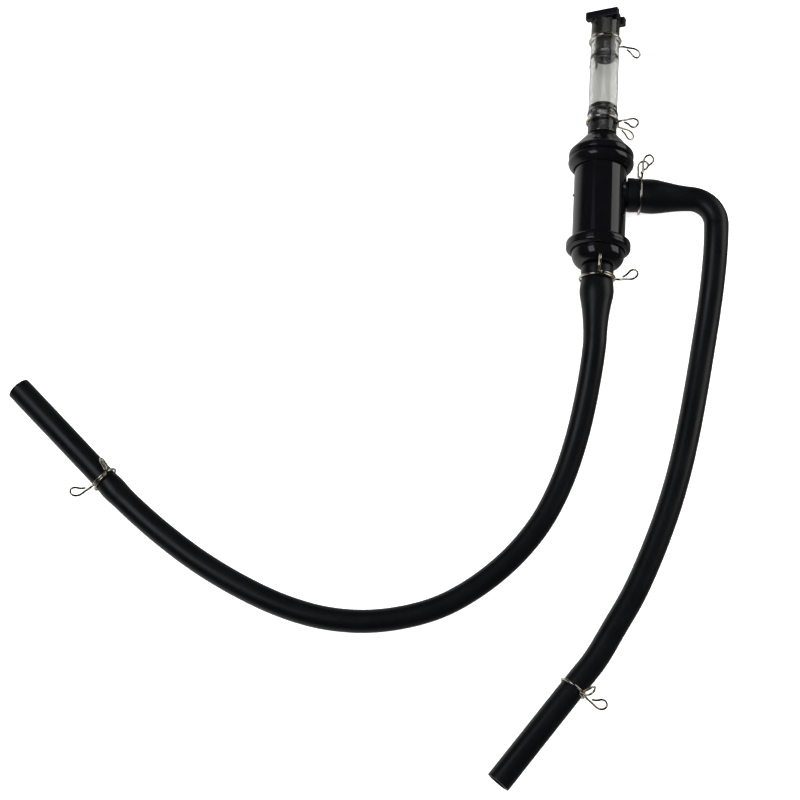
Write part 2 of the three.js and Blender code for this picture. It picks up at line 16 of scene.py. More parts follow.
import bmesh
import bpy
import numpy as np
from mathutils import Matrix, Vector


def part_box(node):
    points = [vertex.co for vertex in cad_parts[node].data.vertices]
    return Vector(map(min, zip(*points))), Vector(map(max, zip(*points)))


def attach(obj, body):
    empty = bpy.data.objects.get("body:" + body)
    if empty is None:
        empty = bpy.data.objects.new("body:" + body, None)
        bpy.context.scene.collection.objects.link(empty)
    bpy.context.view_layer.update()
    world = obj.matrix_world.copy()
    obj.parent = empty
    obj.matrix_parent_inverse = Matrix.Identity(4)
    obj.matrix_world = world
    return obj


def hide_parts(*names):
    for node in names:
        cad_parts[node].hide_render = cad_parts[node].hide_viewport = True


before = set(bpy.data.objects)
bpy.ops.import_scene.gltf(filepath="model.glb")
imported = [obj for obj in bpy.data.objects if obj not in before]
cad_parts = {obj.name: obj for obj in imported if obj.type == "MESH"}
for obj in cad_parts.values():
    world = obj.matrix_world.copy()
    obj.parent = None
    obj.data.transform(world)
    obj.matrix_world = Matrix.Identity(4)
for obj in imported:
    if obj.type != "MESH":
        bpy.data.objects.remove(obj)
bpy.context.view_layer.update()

LOG = logging.getLogger("siphon")
MM = 0.001
SHARP_DEGREES = 38.0  # edges sharper than this stay crisp

X, Y, Z = np.eye(3)


class Slot(Enum):
    """The record's material slots."""

    GLOSS = "gloss_black_plastic"
    RUBBER = "black_rubber"
    CLEAR = "clear_pvc"
    STOPPER = "stopper_plastic"
    WIRE = "spring_wire"
    SEAL = "seal_rubber"
    INNER = "inner_plastic"
    BALL = "ball_plastic"


class Loops(Enum):
    """The way that a clamp's ear loops point along the clamp's axis."""

    FORWARD = 1
    BACK = -1


# ---- Colour and nodes -----------------------------------------------------------------------------


def linear(colour: str) -> tuple[float, float, float, float]:
    """An sRGB hex colour as a linear one.

    Args:
        colour: the colour, such as "#0b0b0d".

    Returns:
        Red, green, blue and an alpha of 1.
    """
    channels = np.array([int(colour[i : i + 2], 16) for i in (1, 3, 5)]) / 255
    low, high = channels / 12.92, ((channels + 0.055) / 1.055) ** 2.4
    return (*np.where(channels <= 0.04045, low, high).tolist(), 1.0)


def per_metre(size_mm: float) -> float:
    """The scale of a pattern whose features are size_mm across, for coordinates in metres."""
    return 1.0 / (size_mm * MM)


def add(
    tree: bpy.types.NodeTree,
    kind: str,
    values: dict[Any, Any] | None = None,
    links: dict[Any, bpy.types.NodeSocket] | None = None,
    **settings: Any,
) -> bpy.types.Node:
    """Adds one node with its settings, its sockets' values and the sockets that feed it.

    Args:
        tree: the node tree.
        kind: the node's type.
        values: input name or number to value.
        links: input name or number to the output that feeds it.
        settings: the node's own settings.

    Returns:
        The node.
    """
    made = tree.nodes.new(kind)
    for key, value in settings.items():
        setattr(made, key, value)
    for key, value in (values or {}).items():
        made.inputs[key].default_value = value
    for key, source in (links or {}).items():
        tree.links.new(source, made.inputs[key])
    return made


# ---- Finishes --------------------------------------------------------------------------------------


@dataclass(frozen=True)
class Finish:
    """A surface that pieces are dressed with. Each kind says in dress() how it is made."""

    slot: Slot

    def make(self) -> bpy.types.Material:
        """The finish as a material."""
        material = bpy.data.materials.new(self.slot.value)
        material.use_nodes = True
        tree = material.node_tree
        tree.nodes.clear()
        shader = add(tree, "ShaderNodeBsdfPrincipled")
        add(tree, "ShaderNodeOutputMaterial", links={"Surface": shader.outputs[0]})
        self.dress(tree, shader)
        return material

    def dress(self, tree: bpy.types.NodeTree, shader: bpy.types.Node) -> None:
        """Adds the finish's own nodes and values to the shader."""
        raise NotImplementedError


@dataclass(frozen=True)
class PolishedAbs(Finish):
    """ABS moulded in a polished tool: black right through under a hard, even gloss.

    Flow marks cloud the gloss over some 15 mm, and orange peel a few millimetres across makes the
    edges of a reflection waver.
    """

    slot: Slot = Slot.GLOSS
    body: str = "#040405"
    bloom: str = "#0a0a0c"
    roughness: tuple[float, float] = (0.07, 0.15)
    flow_mm: float = 15.0
    peel_mm: float = 4.0
    peel_depth_mm: float = 0.012

    def dress(self, tree: bpy.types.NodeTree, shader: bpy.types.Node) -> None:
        """Clouded gloss and orange peel."""
        place = add(tree, "ShaderNodeTexCoord").outputs["Object"]
        flow = add(
            tree,
            "ShaderNodeTexNoise",
            {"Scale": per_metre(self.flow_mm), "Detail": 4.0},
            {"Vector": place},
        ).outputs[0]
        peel = add(
            tree,
            "ShaderNodeTexNoise",
            {"Scale": per_metre(self.peel_mm), "Detail": 1.0},
            {"Vector": place},
        ).outputs[0]
        colour = add(
            tree,
            "ShaderNodeMix",
            {6: linear(self.body), 7: linear(self.bloom)},
            {0: flow},
            data_type="RGBA",
        ).outputs[2]
        rough = add(
            tree,
            "ShaderNodeMapRange",
            {"From Min": 0.3, "From Max": 0.7, "To Min": self.roughness[0], "To Max": self.roughness[1]},
            {"Value": flow},
        ).outputs[0]
        bump = add(
            tree,
            "ShaderNodeBump",
            {"Strength": 1.0, "Distance": self.peel_depth_mm * MM},
            {"Height": peel},
        ).outputs[0]
        shader.inputs["IOR"].default_value = 1.54
        tree.links.new(colour, shader.inputs["Base Color"])
        tree.links.new(rough, shader.inputs["Roughness"])
        tree.links.new(bump, shader.inputs["Normal"])


@dataclass(frozen=True)
class ExtrudedRubber(Finish):
    """EPDM rubber cured in a smooth tube: carbon black with a soft sheen.

    The die leaves faint lines along the hose, handling leaves paler rubbed patches, and the cured
    skin has a fine grain that is drawn at 0.9 mm so that it shows.
    """

    slot: Slot = Slot.RUBBER
    body: str = "#030304"
    rubbed: str = "#070809"
    roughness: tuple[float, float] = (0.3, 0.42)
    patch_mm: float = 26.0
    grain_mm: float = 0.9
    grain_depth_mm: float = 0.02
    lines_round: float = 60.0
    line_length_mm: float = 90.0

    def dress(self, tree: bpy.types.NodeTree, shader: bpy.types.Node) -> None:
        """Rubbed patches, die lines along the hose and a fine grain."""
        coordinates = add(tree, "ShaderNodeTexCoord")
        place, unrolled = coordinates.outputs["Object"], coordinates.outputs["UV"]
        patches = add(
            tree,
            "ShaderNodeTexNoise",
            {"Scale": per_metre(self.patch_mm), "Detail": 5.0, "Roughness": 0.6},
            {"Vector": place},
        ).outputs[0]
        grain = add(
            tree,
            "ShaderNodeTexNoise",
            {"Scale": per_metre(self.grain_mm), "Detail": 2.0},
            {"Vector": place},
        ).outputs[0]
        stretched = add(
            tree,
            "ShaderNodeMapping",
            {"Scale": (self.lines_round, per_metre(self.line_length_mm), 1.0)},
            {"Vector": unrolled},
        ).outputs[0]
        lines = add(
            tree,
            "ShaderNodeTexNoise",
            {"Scale": 1.0, "Detail": 1.0},
            {"Vector": stretched},
        ).outputs[0]
        colour = add(
            tree,
            "ShaderNodeMix",
            {6: linear(self.body), 7: linear(self.rubbed)},
            {0: patches},
            data_type="RGBA",
        ).outputs[2]
        height = add(
            tree,
            "ShaderNodeMath",
            {1: 0.6},
            {0: grain, 2: lines},
            operation="MULTIPLY_ADD",
        ).outputs[0]
        rough = add(
            tree,
            "ShaderNodeMapRange",
            {"From Min": 0.3, "From Max": 0.7, "To Min": self.roughness[0], "To Max": self.roughness[1]},
            {"Value": patches},
        ).outputs[0]
        bump = add(
            tree,
            "ShaderNodeBump",
            {"Strength": 0.7, "Distance": self.grain_depth_mm * MM},
            {"Height": height},
        ).outputs[0]
        shader.inputs["IOR"].default_value = 1.42
        tree.links.new(colour, shader.inputs["Base Color"])
        tree.links.new(rough, shader.inputs["Roughness"])
        tree.links.new(bump, shader.inputs["Normal"])


@dataclass(frozen=True)
class ClearPvc(Finish):
    """Plasticised PVC tube, drawn through a die: smoky in its thickness, with lines along its length."""

    slot: Slot = Slot.CLEAR
    clear: str = "#f8f8f6"
    smoky: str = "#e7e7e4"
    depth_tint: str = "#bebebd"
    depth_density: float = 430.0  # per metre of wall
    roughness: tuple[float, float] = (0.03, 0.1)
    lines_round: float = 26.0
    line_length_mm: float = 130.0
    line_depth_mm: float = 0.05

    def dress(self, tree: bpy.types.NodeTree, shader: bpy.types.Node) -> None:
        """Die lines that bend the light, and smoke in the depth of the wall."""
        unrolled = add(tree, "ShaderNodeTexCoord").outputs["UV"]
        stretched = add(
            tree,
            "ShaderNodeMapping",
            {"Scale": (self.lines_round, per_metre(self.line_length_mm), 1.0)},
            {"Vector": unrolled},
        ).outputs[0]
        lines = add(
            tree,
            "ShaderNodeTexNoise",
            {"Scale": 1.0, "Detail": 3.0},
            {"Vector": stretched},
        ).outputs[0]
        colour = add(
            tree,
            "ShaderNodeMix",
            {6: linear(self.clear), 7: linear(self.smoky)},
            {0: lines},
            data_type="RGBA",
        ).outputs[2]
        rough = add(
            tree,
            "ShaderNodeMapRange",
            {"To Min": self.roughness[0], "To Max": self.roughness[1]},
            {"Value": lines},
        ).outputs[0]
        bump = add(
            tree,
            "ShaderNodeBump",
            {"Strength": 1.0, "Distance": self.line_depth_mm * MM},
            {"Height": lines},
        ).outputs[0]
        shader.inputs["IOR"].default_value = 1.53
        shader.inputs["Transmission Weight"].default_value = 1.0
        depth = add(
            tree,
            "ShaderNodeVolumeAbsorption",
            {"Color": linear(self.depth_tint), "Density": self.depth_density},
        ).outputs[0]
        surface = next(n for n in tree.nodes if n.bl_idname == "ShaderNodeOutputMaterial")
        tree.links.new(depth, surface.inputs["Volume"])
        tree.links.new(colour, shader.inputs["Base Color"])
        tree.links.new(rough, shader.inputs["Roughness"])
        tree.links.new(bump, shader.inputs["Normal"])


@dataclass(frozen=True)
class PlatedWire(Finish):
    """Spring steel wire, drawn and zinc plated: bright and a little warm, with fine draw lines."""

    slot: Slot = Slot.WIRE
    bright: str = "#fbf7ec"
    dulled: str = "#d9cdae"
    roughness: tuple[float, float] = (0.08, 0.22)
    dull_mm: float = 5.0
    lines_round: float = 9.0
    line_length_mm: float = 14.0
    line_depth_mm: float = 0.012

    def dress(self, tree: bpy.types.NodeTree, shader: bpy.types.Node) -> None:
        """Draw lines and dulled, yellowed patches in the plating."""
        coordinates = add(tree, "ShaderNodeTexCoord")
        dulling = add(
            tree,
            "ShaderNodeTexNoise",
            {"Scale": per_metre(self.dull_mm), "Detail": 3.0},
            {"Vector": coordinates.outputs["Object"]},
        ).outputs[0]
        stretched = add(
            tree,
            "ShaderNodeMapping",
            {"Scale": (self.lines_round, per_metre(self.line_length_mm), 1.0)},
            {"Vector": coordinates.outputs["UV"]},
        ).outputs[0]
        lines = add(
            tree,
            "ShaderNodeTexNoise",
            {"Scale": 1.0, "Detail": 2.0},
            {"Vector": stretched},
        ).outputs[0]
        colour = add(
            tree,
            "ShaderNodeMix",
            {6: linear(self.bright), 7: linear(self.dulled)},
            {0: dulling},
            data_type="RGBA",
        ).outputs[2]
        rough = add(
            tree,
            "ShaderNodeMapRange",
            {"To Min": self.roughness[0], "To Max": self.roughness[1]},
            {"Value": dulling},
        ).outputs[0]
        bump = add(
            tree,
            "ShaderNodeBump",
            {"Strength": 0.8, "Distance": self.line_depth_mm * MM},
            {"Height": lines},
        ).outputs[0]
        shader.inputs["Metallic"].default_value = 1.0
        tree.links.new(colour, shader.inputs["Base Color"])
        tree.links.new(rough, shader.inputs["Roughness"])
        tree.links.new(bump, shader.inputs["Normal"])


@dataclass(frozen=True)
class MouldedPolymer(Finish):
    """A moulded plastic or rubber with a spark-eroded surface, which scatters light finely.

    The erosion pits are drawn at the size given, and the colour clouds over some millimetres.
    """

    slot: Slot = Slot.INNER
    body: str = "#2a3740"
    pale: str = "#38474f"
    roughness: tuple[float, float] = (0.42, 0.58)
    ior: float = 1.49
    cloud_mm: float = 7.0
    pit_mm: float = 0.5
    pit_depth_mm: float = 0.03

    def dress(self, tree: bpy.types.NodeTree, shader: bpy.types.Node) -> None:
        """Clouded colour and fine pits."""
        place = add(tree, "ShaderNodeTexCoord").outputs["Object"]
        cloud = add(
            tree,
            "ShaderNodeTexNoise",
            {"Scale": per_metre(self.cloud_mm), "Detail": 3.0},
            {"Vector": place},
        ).outputs[0]
        pits = add(
            tree,
            "ShaderNodeTexNoise",
            {"Scale": per_metre(self.pit_mm), "Detail": 2.0},
            {"Vector": place},
        ).outputs[0]
        colour = add(
            tree,
            "ShaderNodeMix",
            {6: linear(self.body), 7: linear(self.pale)},
            {0: cloud},
            data_type="RGBA",
        ).outputs[2]
        rough = add(
            tree,
            "ShaderNodeMapRange",
            {"To Min": self.roughness[0], "To Max": self.roughness[1]},
            {"Value": cloud},
        ).outputs[0]
        bump = add(
            tree,
            "ShaderNodeBump",
            {"Strength": 0.6, "Distance": self.pit_depth_mm * MM},
            {"Height": pits},
        ).outputs[0]
        shader.inputs["IOR"].default_value = self.ior
        tree.links.new(colour, shader.inputs["Base Color"])
        tree.links.new(rough, shader.inputs["Roughness"])
        tree.links.new(bump, shader.inputs["Normal"])


FINISHES: dict[Slot, Finish] = {
    Slot.GLOSS: PolishedAbs(),
    Slot.RUBBER: ExtrudedRubber(),
    Slot.CLEAR: ClearPvc(),
    Slot.WIRE: PlatedWire(),
    # Thermoplastic elastomer: black, satin, soft enough to seal in the tube.
    Slot.STOPPER: MouldedPolymer(
        Slot.STOPPER, "#050506", "#0b0b0c", (0.22, 0.34), 1.5, cloud_mm=9.0, pit_mm=0.8, pit_depth_mm=0.01
    ),
    # Nitrile rubber: dull black with a little bloom.
    Slot.SEAL: MouldedPolymer(Slot.SEAL, "#0b0b0b", "#191918", (0.55, 0.7), 1.52, cloud_mm=3.0),
    # Polypropylene, grey-blue: waxy.
    Slot.INNER: MouldedPolymer(),
    # Polypropylene, natural white, tumbled smooth.
    Slot.BALL: MouldedPolymer(
        Slot.BALL, "#e2ddd0", "#ece8dd", (0.3, 0.4), 1.49, cloud_mm=4.0, pit_mm=0.4, pit_depth_mm=0.01
    ),
}


class Paints:
    """Makes each finish's material once and puts it on pieces."""

    def __init__(self) -> None:
        """Starts with no material made."""
        self.made: dict[Slot, bpy.types.Material] = {}

    def coat(self, piece: bpy.types.Object, slot: Slot) -> None:
        """Puts a slot's material on a piece, and names the slot.

        Args:
            piece: a new piece or a CAD node.
            slot: the finish that it takes.
        """
        if slot not in self.made:
            self.made[slot] = FINISHES[slot].make()
        piece.data.materials.clear()
        piece.data.materials.append(self.made[slot])


# ---- Lines and surfaces ------------------------------------------------------------------------------


def unit(vectors: np.ndarray) -> np.ndarray:
    """Vectors at length 1."""
    return vectors / np.linalg.norm(vectors, axis=-1, keepdims=True)


def smooth_line(knots: Sequence[Sequence[float]] | np.ndarray, per_span: int = 24) -> np.ndarray:
    """A centripetal Catmull-Rom line through knots of any number of dimensions.

    A span's ends have tangents (b-a)/t0 - (c-a)/(t0+t1) + (c-b)/t1 times t1, where t is the square
    root of the distance between neighbouring knots, and a cubic Hermite runs between them.

    Args:
        knots: the points that it passes through.
        per_span: steps between two knots.

    Returns:
        The points on the line.
    """
    inner = np.asarray(knots, float)
    points = np.vstack([2 * inner[0] - inner[1], inner, 2 * inner[-1] - inner[-2]])
    a, b, c, d = points[:-3], points[1:-2], points[2:-1], points[3:]
    t0, t1, t2 = (np.sqrt(np.linalg.norm(q - p, axis=1))[:, None] for p, q in ((a, b), (b, c), (c, d)))
    start = ((b - a) / t0 - (c - a) / (t0 + t1) + (c - b) / t1) * t1
    stop = ((c - b) / t1 - (d - b) / (t1 + t2) + (d - c) / t2) * t1
    t = np.linspace(0, 1, per_span, endpoint=False)[None, :, None]
    b, c, start, stop = (v[:, None] for v in (b, c, start, stop))
    spans = (
        (2 * t**3 - 3 * t**2 + 1) * b
        + (t**3 - 2 * t**2 + t) * start
        + (3 * t**2 - 2 * t**3) * c
        + (t**3 - t**2) * stop
    )
    return np.vstack([spans.reshape(-1, inner.shape[1]), inner[-1:]])


def eased(stations: np.ndarray, knots: Sequence[tuple[float, float]]) -> np.ndarray:
    """A smooth value at each station, from knots of (station, value).

    Args:
        stations: where it is wanted.
        knots: what it is at a few stations.

    Returns:
        The value at each station.
    """
    line = smooth_line(knots)
    return np.interp(stations, line[:, 0], line[:, 1])


def rounded(corners: Sequence[tuple[float, float, float]], closed: bool = True, steps: int = 5) -> np.ndarray:
    """An outline with its corners rounded.

    A corner c is cut back to p and q along its two sides by its own radius, or by 0.45 of the
    shorter side, and (1-t)²p + 2t(1-t)c + t²q bridges the cut.

    Args:
        corners: two coordinates and a corner radius each.
        closed: whether the last corner joins the first.
        steps: points on each corner.

    Returns:
        The outline's points.
    """
    data = np.array(corners, float)
    point, cut = data[:, :2], data[:, 2]
    back, on = np.roll(point, 1, 0) - point, np.roll(point, -1, 0) - point
    back_length, on_length = np.linalg.norm(back, axis=1), np.linalg.norm(on, axis=1)
    cut = np.minimum(cut, 0.45 * np.minimum(back_length, on_length))
    if not closed:
        cut[[0, -1]] = 0
    p = (point + back * (cut / back_length)[:, None])[:, None]
    q = (point + on * (cut / on_length)[:, None])[:, None]
    t = np.linspace(0, 1, steps)[None, :, None]
    line = ((1 - t) ** 2 * p + 2 * t * (1 - t) * point[:, None] + t**2 * q).reshape(-1, 2)
    moved = np.linalg.norm(np.diff(line, axis=0), axis=1) > 1e-6
    return line[np.r_[True, moved]]


@dataclass
class Line:
    """A line in space that rings are carried along, with a side and an up direction at each point."""

    points: np.ndarray
    sides: np.ndarray
    ups: np.ndarray
    along: np.ndarray = field(init=False)

    def __post_init__(self) -> None:
        """Measures how far along the line each point is."""
        steps = np.linalg.norm(np.diff(self.points, axis=0), axis=1)
        self.along = np.r_[0.0, np.cumsum(steps)]

    @property
    def length(self) -> float:
        """The line's length."""
        return float(self.along[-1])

    @classmethod
    def level(cls, points: np.ndarray) -> Line:
        """A line whose sides stay level: side = direction × up of the world, made square."""
        direction = unit(np.gradient(points, axis=0))
        sides = unit(np.cross(direction, Z))
        return cls(points, sides, np.cross(sides, direction))

    @classmethod
    def untwisted(cls, points: np.ndarray, first_side: np.ndarray) -> Line:
        """A line whose sides turn no more than the line does: each is the last one, made square again."""
        direction = unit(np.gradient(points, axis=0))

        def carry(side: np.ndarray, along: np.ndarray) -> np.ndarray:
            return unit(side - np.dot(side, along) * along)

        sides = np.array(list(accumulate(direction, carry, initial=carry(first_side, direction[0])))[1:])
        return cls(points, sides, np.cross(sides, direction))

    @classmethod
    def straight(cls, start: Sequence[float], direction: np.ndarray, length: float) -> Line:
        """A straight line from a point, with its sides level."""
        first = np.asarray(start, float)
        points = np.stack([first, first + direction * length])
        side = unit(np.cross(direction, Z))
        return cls(points, np.stack([side] * 2), np.stack([np.cross(side, direction)] * 2))

    def rings(
        self, profile: np.ndarray, count: int, oval: float = 0.0, square: float = 1.0
    ) -> np.ndarray:
        """Rings carried along the line.

        A ring at station s with radius r is centre(s) + r·(1 + oval·cos 2a)·(cos a · side + sin a · up),
        with a round the whole turn from underneath, and cos and sin raised to the power square.

        Args:
            profile: a row of (radius, station) for each ring. A straight line goes on past its ends.
            count: points in a ring.
            oval: how much wider than high a ring is, as a share.
            square: 1 for a circle, less for a squarer ring.

        Returns:
            An array of rings by points by 3.
        """
        radius, station = profile[:, 0], profile[:, 1]

        def at(values: np.ndarray) -> np.ndarray:
            return np.stack([np.interp(station, self.along, values[:, i]) for i in range(3)], axis=1)

        centre, side, up = at(self.points), at(self.sides), at(self.ups)
        beyond = station - np.clip(station, 0, self.along[-1])
        tips = unit(np.stack([self.points[1] - self.points[0], self.points[-1] - self.points[-2]]))
        centre = centre + beyond[:, None] * np.where(beyond[:, None] < 0, tips[0], tips[1])
        angle = np.linspace(0, 2 * np.pi, count, endpoint=False) - np.pi / 2
        cosine, sine = (np.sign(f) * np.abs(f) ** square for f in (np.cos(angle), np.sin(angle)))
        swell = 1 + oval * np.cos(2 * angle)
        spoke = cosine[None, :, None] * side[:, None] + sine[None, :, None] * up[:, None]
        return centre[:, None] + radius[:, None, None] * swell[None, :, None] * spoke


def settle(mesh: bpy.types.Mesh, sharp: float = SHARP_DEGREES) -> None:
    """Merges a mesh's doubles, points its faces outwards and shades it smooth but for its edges."""
    shape = bmesh.new()
    shape.from_mesh(mesh)
    bmesh.ops.remove_doubles(shape, verts=shape.verts, dist=1e-7)
    bmesh.ops.dissolve_degenerate(shape, edges=shape.edges, dist=1e-8)
    if shape.calc_volume(signed=True) < 0:
        bmesh.ops.reverse_faces(shape, faces=shape.faces)
    shape.to_mesh(mesh)
    shape.free()
    mesh.shade_smooth()
    mesh.set_sharp_from_angle(angle=math.radians(sharp))


def skin(name: str, rings: np.ndarray, closed: bool, sharp: float = SHARP_DEGREES) -> bpy.types.Object:
    """A mesh over rings, in millimetres: quads between each ring and the next, all the way round.

    Its UV map has turns round a ring in U and metres from ring to ring in V.

    Args:
        name: the piece's name.
        rings: an array of rings by points by 3.
        closed: True joins the last ring to the first. Otherwise both are single points or are capped.
        sharp: the angle past which an edge stays crisp, in degrees.

    Returns:
        The piece.
    """
    total, count = rings.shape[:2]
    row, column = (g.ravel() for g in np.mgrid[0 : total if closed else total - 1, 0:count])
    near, far = row * count, (row + 1) % total * count
    on = (column + 1) % count
    quads = np.stack([near + column, near + on, far + on, far + column], axis=1)
    reach = np.linalg.norm(np.diff(np.concatenate([rings, rings[:1]]), axis=0), axis=2).mean(axis=1)
    along = np.r_[0.0, np.cumsum(reach)] * MM
    u = np.stack([column, column + 1, column + 1, column], axis=1) / count
    v = np.stack([along[row], along[row], along[row + 1], along[row + 1]], axis=1)
    ends = (np.arange(count)[::-1], np.arange(count) + (total - 1) * count)
    caps = [] if closed else [end.tolist() for end in ends]
    flat_ends = [] if closed else [np.ptp(rings[i], axis=0).max() > 1e-6 for i in (0, -1)]
    caps = [cap for cap, flat in zip(caps, flat_ends) if flat]
    mesh = bpy.data.meshes.new(name)
    mesh.from_pydata((rings.reshape(-1, 3) * MM).tolist(), [], quads.tolist() + caps)
    unrolled = np.zeros((len(mesh.loops), 2), np.float32)
    unrolled[: quads.size] = np.stack([u, v], axis=-1).reshape(-1, 2)
    mesh.uv_layers.new(name="UVMap").data.foreach_set("uv", unrolled.ravel())
    settle(mesh, sharp)
    piece = bpy.data.objects.new(name, mesh)
    bpy.context.scene.collection.objects.link(piece)
    return piece


def combined(
    piece: bpy.types.Object, others: Iterable[bpy.types.Object], operation: str, sharp: float = SHARP_DEGREES
) -> bpy.types.Object:
    """A piece joined with or cut by others, which are used up.

    Args:
        piece: what is kept.
        others: what is joined or cut away.
        operation: "UNION" or "DIFFERENCE".
        sharp: the angle past which an edge stays crisp, in degrees.

    Returns:
        The piece with its new mesh.
    """
    for other in others:
        cut = piece.modifiers.new("cut", "BOOLEAN")
        cut.solver, cut.operation, cut.object = "EXACT", operation, other
        bpy.context.view_layer.update()
        mesh = bpy.data.meshes.new_from_object(piece.evaluated_get(bpy.context.evaluated_depsgraph_get()))
        piece.modifiers.clear()
        mesh.name, old = piece.name, piece.data
        piece.data = mesh
        bpy.data.meshes.remove(old)
        bpy.data.meshes.remove(other.data)
    settle(piece.data, sharp)
    return piece


# ---- Place -------------------------------------------------------------------------------------------


@dataclass(frozen=True)
class Place:
    """Where the canister lies in the frame, in millimetres, and the pieces' way into the scene."""

    x: float
    y: float
    height: float
    paints: Paints

    @classmethod
    def of_frame(cls, paints: Paints) -> Place:
        """Reads the canister's axis from its top collar and its middle from its barrel's lower end."""
        low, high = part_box("top_collar")
        barrel_low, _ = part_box("barrel")
        axis_x, axis_z = (low.x + high.x) / 2 / MM, (low.z + high.z) / 2 / MM
        return cls(axis_x, barrel_low.y / MM - Barrel.bottom, axis_z, paints)

    def on_floor(self, points: Sequence[Sequence[float]] | np.ndarray) -> np.ndarray:
        """Points in canister coordinates as points in the frame."""
        return np.asarray(points, float) + (self.x, self.y, 0.0)

    def axis(self) -> Line:
        """The canister's axis, whose stations are canister Y."""
        return Line.straight((self.x, self.y, self.height), Y, 1.0)

    def turned(
        self,
        name: str,
        profile: np.ndarray,
        count: int = 112,
        closed: bool = True,
        sharp: float = SHARP_DEGREES,
    ) -> bpy.types.Object:
        """A piece turned about the canister's axis from (radius, Y) points."""
        return skin(name, self.axis().rings(profile, count), closed, sharp)

    def add(
        self, piece: bpy.types.Object, slot: Slot, body: str, *nodes: str
    ) -> bpy.types.Object:
        """Dresses a piece, sets it on its body and reports it.

        Args:
            piece: the piece.
            slot: its finish.
            body: the body that it rides on.
            nodes: the CAD nodes that it stands for.

        Returns:
            The piece.
        """
        self.paints.coat(piece, slot)
        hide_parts(*nodes)
        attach(piece, body)
        LOG.info("%s on %s: %d faces", piece.name, body, len(piece.data.polygons))
        return piece


# ---- Canister ----------------------------------------------------------------------------------------


@dataclass
class Barrel:
    """The middle of the canister, open at both ends, with the outlet's spigot on its right."""

    place: Place
    radius: float = 17.8
    wall: float = 2.0
    top: float = 33.0
    bottom: float = -30.0
    land_height: float = 4.4
    land_lift: float = 0.25
    port_y: float = 9.5
    port_radius: float = 9.0
    port_bore: float = 6.8
    port_length: float = 22.0
    gate_y: float = 6.8
    gate_radius: float = 0.8
    gate_lift: float = 0.8

    def build(self) -> None:
        """The shell and its spigot as one moulding, with the stub that the gate left on the left."""
        inside = self.radius - self.wall
        shell = self.place.turned(
            "barrel_moulding",
            rounded(
                [
                    (inside, self.bottom, 0.3),
                    (self.radius + self.land_lift, self.bottom, 0.3),
                    (self.radius + self.land_lift, self.bottom + self.land_height, 0.25),
                    (self.radius, self.bottom + self.land_height + 0.5, 0.3),
                    (self.radius, self.top, 0.4),
                    (inside, self.top, 0.4),
                ]
            ),
            160,
        )
        centre = (self.place.x, self.place.y + self.port_y, self.place.height)
        out = Line.straight(centre, X, 1.0)
        tip = self.radius + self.port_length
        spigot = [
            (0.0, inside - 2, 0.0),
            (self.port_radius + 1.6, inside - 2, 0.0),
            (self.port_radius + 1.3, inside - 1, 0.0),
            (self.port_radius, self.radius + 0.2, 1.6),
            (self.port_radius, tip - 8.5, 0.4),
            (self.port_radius + 0.7, tip - 7.3, 0.3),
            (self.port_radius + 0.7, tip - 6.5, 0.4),
            (self.port_radius - 0.1, tip - 3.6, 0.6),
            (self.port_radius - 0.3, tip, 0.8),
            (0.0, tip, 0.0),
        ]
        pipe = skin("port", out.rings(rounded(spigot, closed=False), 96), closed=False)
        drill = np.array([(self.port_bore, 2.0), (self.port_bore, tip + 2)])
        bore = skin("bore", out.rings(drill, 96), closed=False)
        core = np.array([(inside, self.bottom - 1), (inside, self.top + 1)])
        hollow = self.place.turned("hollow", core, 160, False)
        left = Line.straight((self.place.x, self.place.y + self.gate_y, self.place.height), -X, 1.0)
        stub = [
            (0.0, self.radius - 1, 0.0),
            (self.gate_radius, self.radius - 1, 0.0),
            (self.gate_radius * 0.8, self.radius + self.gate_lift, 0.4),
            (0.0, self.radius + self.gate_lift, 0.0),
        ]
        gate = skin("gate", left.rings(rounded(stub, closed=False), 20), closed=False)
        piece = combined(shell, [pipe, gate], "UNION")
        piece = combined(piece, [bore, hollow], "DIFFERENCE")
        self.place.add(piece, Slot.GLOSS, "canister", "barrel")


